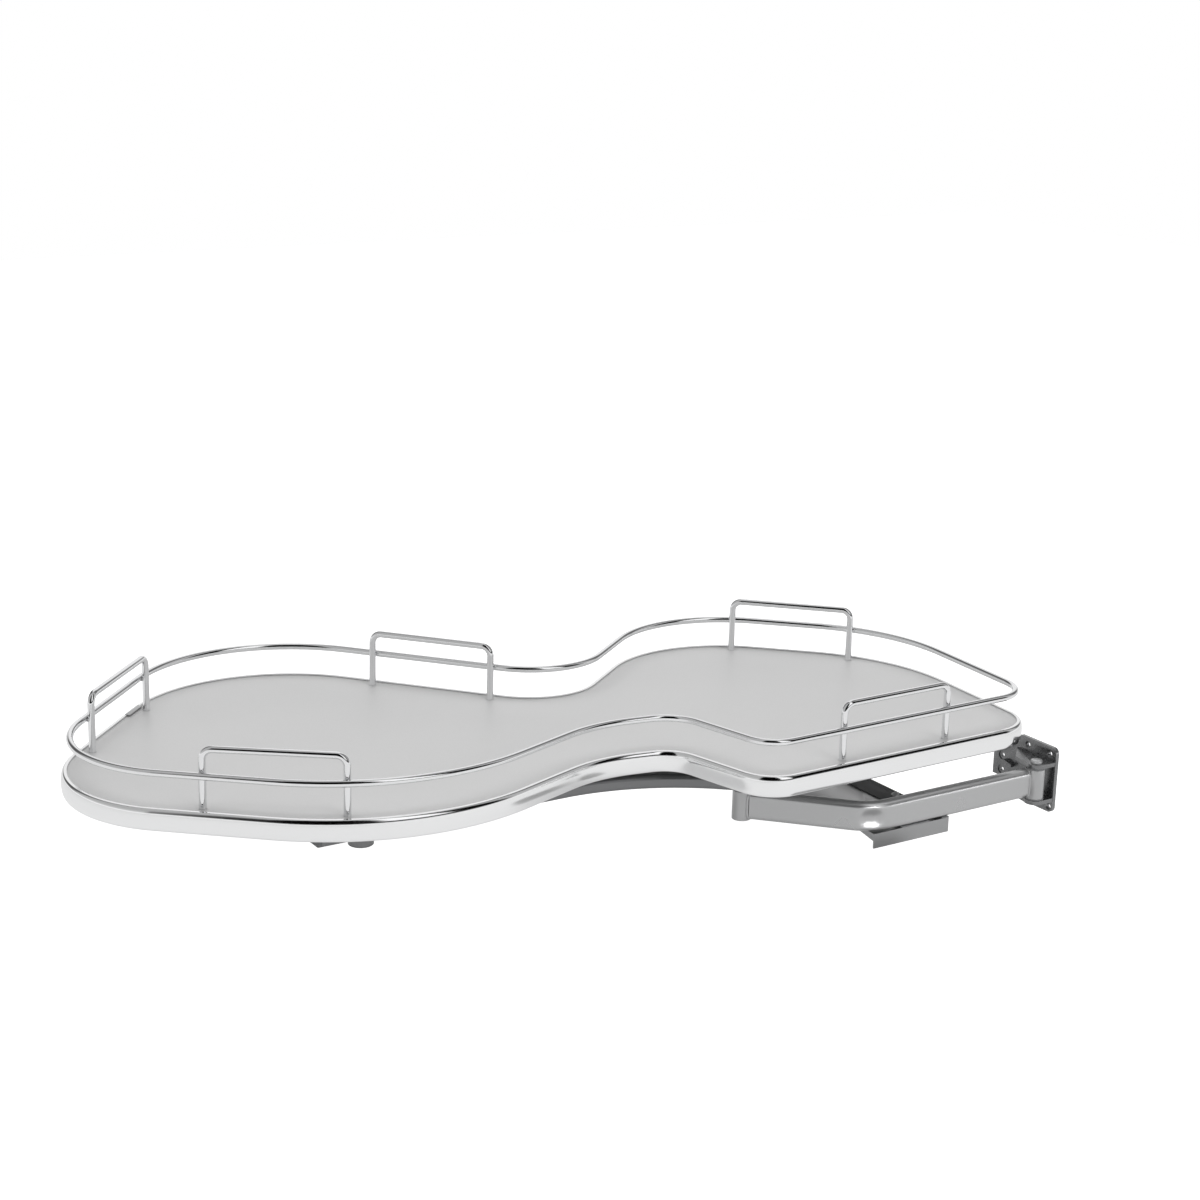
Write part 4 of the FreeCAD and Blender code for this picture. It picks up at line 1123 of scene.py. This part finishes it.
@dataclass
class Tray:
    """The board with its chrome band, guard rail, raised loops and pivot.

    The lip's points lie so far under its top: those outside are also given back from the crest,
    those inside out from the board's edge. Each screw's recess stands at a turn of its own.
    """

    outline: TrayOutline
    board_low: float = 36.9
    board_high: float = 55.9
    overhang: float = 1.2
    foot: float = 2.6
    bulge: float = 5.6
    foot_inset: float = 0.5
    crest: float = 1.8
    lip: float = 1.2
    lip_outside: tuple[tuple[float, float], ...] = ((0.35, 0.08), (0.75, 0.0))
    lip_inside: tuple[tuple[float, float], ...] = ((0.35, 0.0), (0.08, 0.12), (0.0, 0.4))
    lip_seat: float = 0.05
    fullness: float = 2.6
    face_steps: int = 12
    face_end: float = 0.995
    wire_radius: float = 3.3
    wire_faces: int = 20
    rail_inset: float = 3.7
    rail_level: float = 87.1
    loop_corner: float = 9.4
    loop_turn_step: float = 7.5
    weld_side: float = 1.5
    weld_shape: tuple[float, float, float] = (1.5, 1.0, 2.3)
    plate_rounding: float = 0.3
    clip_rounding: float = 0.2
    post_screw_turns: tuple[float, float] = (0.4, 0.9)
    plate_screw_turns: tuple[float, float, float] = (0.3, 0.5, 0.8)
    loop_nodes: tuple[tuple[str, int], ...] = (
        ("loop_left_front", -1),
        ("loop_left_back", 1),
        ("loop_waist_back", -1),
        ("loop_right_back", -1),
        ("loop_right_front", 1),
    )

    def band(self) -> None:
        """The chrome band: a bulging face under a thin rounded lip."""
        crest_level = self.board_high + self.lip
        middle = (self.board_low + crest_level) / 2
        half = (crest_level - self.board_low) / 2
        section = [(self.overhang, self.board_low), (self.foot - self.foot_inset, self.board_low)]
        for i in range(-self.face_steps, self.face_steps + 1):
            share = math.sin(math.pi / 2 * i / self.face_steps) * self.face_end
            edge = self.foot if share < 0 else self.crest
            out = edge + (self.bulge - edge) * (1 - abs(share) ** self.fullness) ** (1 / self.fullness)
            section.append((out, middle + half * share))
        # The lip is a small round, a flat top and a small round down to the board.
        section += [(self.crest - back, crest_level - down) for back, down in self.lip_outside]
        section += [(out, crest_level - down) for out, down in self.lip_inside]
        section += [(out, self.board_high + self.lip_seat) for out in (0.0, self.overhang)]
        band = self.outline.sweep("band_sweep", section)
        finished(band, "chrome_edge_band", "tray", CHROME_BAND, ["edge_band"])

    def rail(self) -> None:
        """The closed rail of round wire."""
        section = []
        for i in range(self.wire_faces):
            turn = 2 * math.pi * i / self.wire_faces
            section.append((
                -self.rail_inset + self.wire_radius * math.cos(turn),
                self.rail_level + self.wire_radius * math.sin(turn),
            ))
        rail = self.outline.sweep("rail_sweep", section)
        finished(rail, "chrome_guard_rail", "tray", CHROME_WIRE, ["guard_rail"])

    def feet(self, node: str, slope: int) -> tuple[Vector, Vector, float, float]:
        """Where a loop's two posts stand, read from its solid's box.

        Args:
            node: The loop's solid.
            slope: 1 where the loop runs to the right and back, -1 where it runs to the left and back.

        Returns:
            The first foot, the second foot, the low end and the top of the wire's centre line.
        """
        low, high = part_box(node)
        inset = self.wire_radius * MM
        near, far = low.y + inset, high.y - inset
        first = Vector((low.x + inset, near if slope > 0 else far, 0.0))
        second = Vector((high.x - inset, far if slope > 0 else near, 0.0))
        return first, second, low.z, high.z - inset

    def loops(self) -> list[Vector]:
        """The five raised loops of round wire.

        Returns:
            The places of all posts, seen from above.
        """
        posts = []
        for node, slope in self.loop_nodes:
            first, second, low, high = self.feet(node, slope)
            posts += [first, second]
            way = (second - first).normalized()
            round_by = self.loop_corner * MM
            ring = round_ring(node + "_sweep", first + UP * low, UP, self.wire_radius, self.wire_faces)
            sweep = Sweep(ring)
            axis = UP.cross(way)
            lift = UP * (high - round_by)
            sweep.straight(UP * (high - round_by - low))
            sweep.bend(first + way * round_by + lift, axis, math.pi / 2, self.loop_turn_step)
            sweep.straight(second - first - way * 2 * round_by)
            sweep.bend(second - way * round_by + lift, axis, math.pi / 2, self.loop_turn_step)
            sweep.straight(-UP * (high - round_by - low))
            finished(sweep.capped(), node.replace("loop", "chrome_loop"), "tray", CHROME_WIRE, [node])
        return posts

    def nearest_outline(self, spot: Vector) -> Vector:
        """The direction from a post to the rail beside it.

        Args:
            spot: The post's place seen from above.

        Returns:
            A level direction of length one.
        """
        bends = self.outline.bends()
        best, direction = math.inf, Vector((0.0, -1.0, 0.0))
        for i, bend in enumerate(bends):
            after = bends[(i + 1) % len(bends)]
            along = (after.start - bend.end).normalized()
            share = (spot - bend.end).dot(along)
            if 0 <= share <= (after.start - bend.end).length:
                foot = bend.end + along * share
                if (foot - spot).length < best:
                    best, direction = (foot - spot).length, (foot - spot).normalized()
            out = spot - bend.centre
            radius = (bend.start - bend.centre).length
            foot = bend.centre + out.normalized() * radius
            lead = (bend.start - bend.centre).angle(out) + (bend.end - bend.centre).angle(out)
            if lead < abs(bend.turn) + FLAT and (foot - spot).length < best:
                best, direction = (foot - spot).length, (foot - spot).normalized()
        return direction

    def welds(self, posts: Sequence[Vector]) -> None:
        """A small weld on each side of every place where a post meets the rail.

        Args:
            posts: The posts' places seen from above.
        """
        bpy.ops.mesh.primitive_uv_sphere_add(segments=20, ring_count=12, radius=MM)
        model = bpy.context.object
        model.scale = self.weld_shape
        settle(model)
        edit()
        bpy.ops.mesh.subdivide(number_cuts=1, fractal=0.12, seed=4)
        bpy.ops.mesh.vertices_smooth(factor=0.5, repeat=1)
        leave()
        beads = []
        for post in posts:
            out = self.nearest_outline(post)
            along = UP.cross(out)
            turn = Matrix.Rotation(math.atan2(out.y, out.x), 4, "Z")
            for side in (-1, 1):
                shift = out * self.wire_radius + along * side * self.weld_side + UP * self.rail_level
                spot = post + shift * MM
                beads.append(copy_to(model, Matrix.Translation(spot) @ turn))
        bpy.data.objects.remove(model)
        finished(joined("rail_welds", beads), "rail_weld_spots", "tray", WELD_METAL)

    def joint_clip(self) -> None:
        """The thin clip over the band's joint."""
        dressed("band_joiner", "band_joint_clip", "tray", CLIP_STEEL, self.clip_rounding)

    def screws(self, posts: Sequence[Vector]) -> None:
        """The countersunk screws under the board and under the pivot plate, each at its own turn.

        Args:
            posts: The posts' places seen from above.
        """
        low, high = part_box("loop_screws")
        screw = CrossScrew(ScrewHead.FLAT)
        screw.shank_length = (high.z - low.z) / MM - screw.end_clearance
        first, more = self.post_screw_turns
        places = [
            Matrix.Translation(post + UP * low.z) @ Matrix.Rotation(first + more * i, 4, "Z")
            for i, post in enumerate(posts)
        ]
        finished(screw.at("post_screws", places), "post_screw_set", "tray", SCREW_STEEL, ["loop_screws"])
        low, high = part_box("plate_screws")
        reach = screw.head_radius * MM
        screw.shank_length = (high.z - low.z) / MM - screw.end_clearance
        first, across, back = self.plate_screw_turns
        places = []
        for i, x in enumerate((low.x + reach, high.x - reach)):
            for j, y in enumerate((low.y + reach, high.y - reach)):
                turn = Matrix.Rotation(first + across * i + back * j, 4, "Z")
                places.append(Matrix.Translation(Vector((x, y, low.z))) @ turn)
        finished(screw.at("pivot_screws", places), "pivot_screw_set", "tray", SCREW_STEEL, ["plate_screws"])

    def pivot(self) -> None:
        """The plate and collar of the tray's pivot."""
        dressed("pivot_plate", "pivot_base", "tray", PIN_STEEL, self.plate_rounding)
        dressed("pivot_collar", "pivot_washer", "tray", PIN_STEEL, self.plate_rounding)

    def build(self) -> None:
        """Build the tray's pieces."""
        self.band()
        self.rail()
        posts = self.loops()
        self.welds(posts)
        self.joint_clip()
        self.screws(posts)
        self.pivot()


def paint_carried_nodes() -> None:
    """Give every solid that still shows the finish of its slot."""
    slots = {part["node"]: part["material_slot"] for part in frame["record"]["subparts"]}
    for name, node in frame["nodes"].items():
        if node.hide_render:
            continue
        finish = SLOT_FINISHES[slots[name]]
        node.data.materials.clear()
        node.data.materials.append(finish.material())
        log.info("%s keeps its solid in %s", name, finish.name)


# Studio and camera


@dataclass
class Studio:
    """A pale floor, soft lamps and a plain white surround.

    All rays but the camera's meet a room instead of the surround. Each zone of the room has the two
    heights in degrees between which it takes over from the zone below, and greys at bearings from
    `front`. `shade` is the place and radius of a soft dark spot in the mirrored floor.
    """

    middle: tuple[float, float, float] = (-0.45, 0.2, 0.03)
    floor_level: float = -0.09
    floor_size: float = 9.0
    mirrored_floor: float = 0.46
    shade: tuple[float, float, float] = (-0.19, -0.06, 0.045)
    shade_edge: float = 0.03
    front: float = -123.0
    floor_grey: float = 0.45
    zones: tuple[tuple[float, float, tuple[tuple[float, float], ...]], ...] = (
        (-90.0, -90.0, ((-180.0, 1.0), (180.0, 1.0))),
        (2.0, 8.0, (
            (-180.0, 0.9), (-160.0, 0.9), (-145.0, 0.12), (-120.0, 0.12), (-105.0, 0.55), (-33.0, 0.55),
            (-26.0, 0.0), (86.0, 0.0), (92.0, 0.5), (110.0, 0.5), (120.0, 0.2), (145.0, 0.2),
            (160.0, 0.9), (180.0, 0.9),
        )),
        (14.0, 20.0, (
            (-180.0, 0.9), (-160.0, 0.9), (-145.0, 0.1), (-120.0, 0.1), (-105.0, 0.45), (-31.0, 0.45),
            (-26.0, 0.0), (24.0, 0.0), (29.0, 1.1), (56.0, 1.1), (61.0, 0.0), (84.0, 0.0), (89.0, 0.45),
            (110.0, 0.45), (120.0, 0.15), (145.0, 0.15), (160.0, 0.9), (180.0, 0.9),
        )),
        (70.0, 78.0, ((-180.0, 0.5), (180.0, 0.5))),
    )

    def floor(self) -> None:
        """A wide pale floor that keeps a soft shadow."""
        place = (*self.middle[:2], self.floor_level)
        bpy.ops.mesh.primitive_plane_add(size=self.floor_size, location=place)
        floor = settle(bpy.context.object)
        floor.name = "studio_floor"
        material = bpy.data.materials.new("studio_floor")
        material.use_nodes = True
        tree = material.node_tree
        shader = tree.nodes["Principled BSDF"]
        shader.inputs["Base Color"].default_value = (*[self.floor_grey] * 3, 1.0)
        shader.inputs["Roughness"].default_value = 0.9
        rays = tree.nodes.new("ShaderNodeLightPath")
        lift = tree.nodes.new("ShaderNodeMath")
        lift.operation = "MULTIPLY_ADD"
        lift.inputs[1].default_value = self.mirrored_floor
        lit = tree.nodes.new("ShaderNodeMath")
        lit.operation = "MULTIPLY"
        tree.links.new(rays.outputs["Is Glossy Ray"], lit.inputs[0])
        tree.links.new(self.under_bend(tree), lit.inputs[1])
        tree.links.new(lit.outputs["Value"], lift.inputs[0])
        tree.links.new(rays.outputs["Is Camera Ray"], lift.inputs[2])
        tree.links.new(lift.outputs["Value"], shader.inputs["Emission Strength"])
        shader.inputs["Emission Color"].default_value = (1.0, 1.0, 1.0, 1.0)
        floor.data.materials.append(material)

    def under_bend(self, tree: bpy.types.NodeTree) -> bpy.types.NodeSocket:
        """A soft dark spot of the mirrored floor in front of the arm's bend, which shades it.

        Args:
            tree: The floor's nodes.

        Returns:
            A factor that is 0 in the spot and 1 outside.
        """
        x, y, radius = self.shade
        where = tree.nodes.new("ShaderNodeTexCoord").outputs["Object"]
        distance = tree.nodes.new("ShaderNodeVectorMath")
        distance.operation = "DISTANCE"
        distance.inputs[1].default_value = (x, y, self.floor_level)
        tree.links.new(where, distance.inputs[0])
        share = tree.nodes.new("ShaderNodeMapRange")
        share.inputs["From Min"].default_value = radius
        share.inputs["From Max"].default_value = radius + self.shade_edge
        tree.links.new(distance.outputs["Value"], share.inputs["Value"])
        return share.outputs["Result"]

    def surround(self) -> None:
        """A white surround for the camera and a room of pale and dark walls for all other rays."""
        world = bpy.data.worlds.new("surround")
        world.use_nodes = True
        bpy.context.scene.world = world
        tree = world.node_tree
        room = tree.nodes["Background"]
        white = tree.nodes.new("ShaderNodeBackground")
        white.inputs["Color"].default_value = (1.0, 1.0, 1.0, 1.0)
        where = tree.nodes.new("ShaderNodeTexCoord").outputs["Generated"]
        axes = tree.nodes.new("ShaderNodeSeparateXYZ")
        tree.links.new(where, axes.inputs["Vector"])
        level = axes.outputs["Z"]
        bearing = self.bearing(tree, where)
        walls = None
        for low, high, stops in self.zones:
            places = [((degrees + 180.0) / 360.0, value) for degrees, value in stops]
            band = self.ramp(tree, bearing, places)
            if walls is None:
                walls = band
                continue
            share = tree.nodes.new("ShaderNodeMapRange")
            share.inputs["From Min"].default_value = math.sin(math.radians(low))
            share.inputs["From Max"].default_value = math.sin(math.radians(high))
            mix = tree.nodes.new("ShaderNodeMix")
            mix.data_type = "RGBA"
            tree.links.new(level, share.inputs["Value"])
            tree.links.new(share.outputs["Result"], mix.inputs["Factor"])
            tree.links.new(walls, mix.inputs["A"])
            tree.links.new(band, mix.inputs["B"])
            walls = mix.outputs["Result"]
        tree.links.new(walls, room.inputs["Color"])
        rays = tree.nodes.new("ShaderNodeLightPath")
        pick = tree.nodes.new("ShaderNodeMixShader")
        tree.links.new(rays.outputs["Is Camera Ray"], pick.inputs["Fac"])
        tree.links.new(room.outputs["Background"], pick.inputs[1])
        tree.links.new(white.outputs["Background"], pick.inputs[2])
        tree.links.new(pick.outputs["Shader"], tree.nodes["World Output"].inputs["Surface"])

    def bearing(self, tree: bpy.types.NodeTree, where: bpy.types.NodeSocket) -> bpy.types.NodeSocket:
        """The bearing of a direction, 0.5 towards the studio's front and growing anticlockwise.

        Args:
            tree: The world's nodes.
            where: The direction.

        Returns:
            A factor between 0 and 1.
        """
        turn = math.radians(self.front)
        parts = []
        for axis in ((math.cos(turn), math.sin(turn), 0.0), (-math.sin(turn), math.cos(turn), 0.0)):
            dot = tree.nodes.new("ShaderNodeVectorMath")
            dot.operation = "DOT_PRODUCT"
            dot.inputs[1].default_value = axis
            tree.links.new(where, dot.inputs[0])
            parts.append(dot.outputs["Value"])
        angle = tree.nodes.new("ShaderNodeMath")
        angle.operation = "ARCTAN2"
        tree.links.new(parts[1], angle.inputs[0])
        tree.links.new(parts[0], angle.inputs[1])
        share = tree.nodes.new("ShaderNodeMapRange")
        share.inputs["From Min"].default_value = -math.pi
        share.inputs["From Max"].default_value = math.pi
        tree.links.new(angle.outputs["Value"], share.inputs["Value"])
        return share.outputs["Result"]

    def ramp(
        self,
        tree: bpy.types.NodeTree,
        source: bpy.types.NodeSocket,
        stops: Sequence[tuple[float, float]],
    ) -> bpy.types.NodeSocket:
        """A grey ramp over a factor.

        Args:
            tree: The world's nodes.
            source: The factor.
            stops: Places from 0 to 1 and their grey, in order.

        Returns:
            The ramp's colour.
        """
        node = tree.nodes.new("ShaderNodeValToRGB")
        elements = node.color_ramp.elements
        elements[0].position, elements[1].position = stops[0][0], stops[-1][0]
        for place, _ in stops[1:-1]:
            elements.new(place)
        for stop, (_, value) in zip(elements, stops):
            stop.color = (value, value, value, 1.0)
        tree.links.new(source, node.inputs["Fac"])
        return node.outputs["Color"]

    def lamp(
        self,
        name: str,
        place: Vector,
        target: Vector,
        size: tuple[float, float],
        watts: float,
        only: Sequence[str],
    ) -> None:
        """One soft rectangular lamp.

        Args:
            name: The lamp's name.
            place: Where it hangs.
            target: Where it points.
            size: Its width and height in metres.
            watts: Its power.
            only: The pieces that it lights and is mirrored in, or none to light all and be mirrored
                in none.
        """
        data = bpy.data.lights.new(name, "AREA")
        data.shape = "RECTANGLE"
        data.size, data.size_y = size
        data.energy = watts
        lamp = bpy.data.objects.new(name, data)
        bpy.context.scene.collection.objects.link(lamp)
        lamp.location = place
        lamp.rotation_euler = (target - place).to_track_quat("-Z", "Y").to_euler()
        lamp.visible_glossy = bool(only)
        if only:
            lit = bpy.data.collections.new(name + "_lights")
            for piece in only:
                lit.objects.link(bpy.data.objects[piece])
            lamp.light_linking.receiver_collection = lit

    def build(self) -> None:
        """Build the studio."""
        self.floor()
        self.surround()
        tube = ("arm_bent_tube",)
        arm = tube + ("hinge_barrel", "link_barrel", "arm_weld_beads", "stay_sheet", "bracket_casting")
        for name, place, target, size, watts, only in (
            ("overhead", (-0.5, 0.1, 2.1), self.middle, (2.4, 1.6), 26.0, ()),
            ("front", (0.2, -2.4, 0.9), self.middle, (1.8, 0.9), 14.0, ()),
            ("arm_gleam", (-0.36, -1.55, 0.36), (-0.225, -0.01, 0.0), (0.5, 0.45), 6.0, tube),
            ("arm_side", (1.24, -1.36, 0.1), (-0.06, 0.0, 0.0), (1.2, 0.6), 4.4, arm),
            ("arm_top", (0.4, -0.3, 1.6), (-0.15, 0.0, 0.0), (2.2, 1.0), 4.0, arm),
        ):
            self.lamp(name, Vector(place), Vector(target), size, watts, only)


@dataclass
class Viewpoint:
    """The camera of the picture, found from the sizes and the picture."""

    place: tuple[float, float, float] = (-1.5264, -1.5318, 0.7659)
    look: tuple[float, float, float] = (0.5242, 0.8072, -0.2713)
    roll: float = 1.44
    focal_length: float = 68.6
    sensor: float = 36.0

    def build(self) -> None:
        """Place the camera."""
        data = bpy.data.cameras.new("viewpoint")
        data.lens = self.focal_length
        data.sensor_width = self.sensor
        data.sensor_fit = "HORIZONTAL"
        data.clip_end = 50.0
        camera = bpy.data.objects.new("viewpoint", data)
        bpy.context.scene.collection.objects.link(camera)
        forward = Vector(self.look).normalized()
        right = forward.cross(UP).normalized()
        above = right.cross(forward)
        tilt = math.radians(self.roll)
        x_axis = right * math.cos(tilt) + above * math.sin(tilt)
        y_axis = above * math.cos(tilt) - right * math.sin(tilt)
        turn = Matrix((x_axis, y_axis, -forward)).transposed()
        camera.matrix_world = Matrix.Translation(Vector(self.place)) @ turn.to_4x4()
        bpy.context.scene.camera = camera


def main() -> None:
    """Build the object, the studio and the camera."""
    logging.basicConfig(level=logging.INFO, format="%(name)s: %(message)s")
    bpy.ops.object.select_all(action="DESELECT")
    bpy.context.scene.view_settings.view_transform = "Standard"
    for part in (WallBracket(), SwingArm(), LinkArm(), Tray(TrayOutline())):
        part.build()
        log.info("%s is built", type(part).__name__)
    paint_carried_nodes()
    Studio().build()
    Viewpoint().build()


if __name__ == "__main__":
    main()
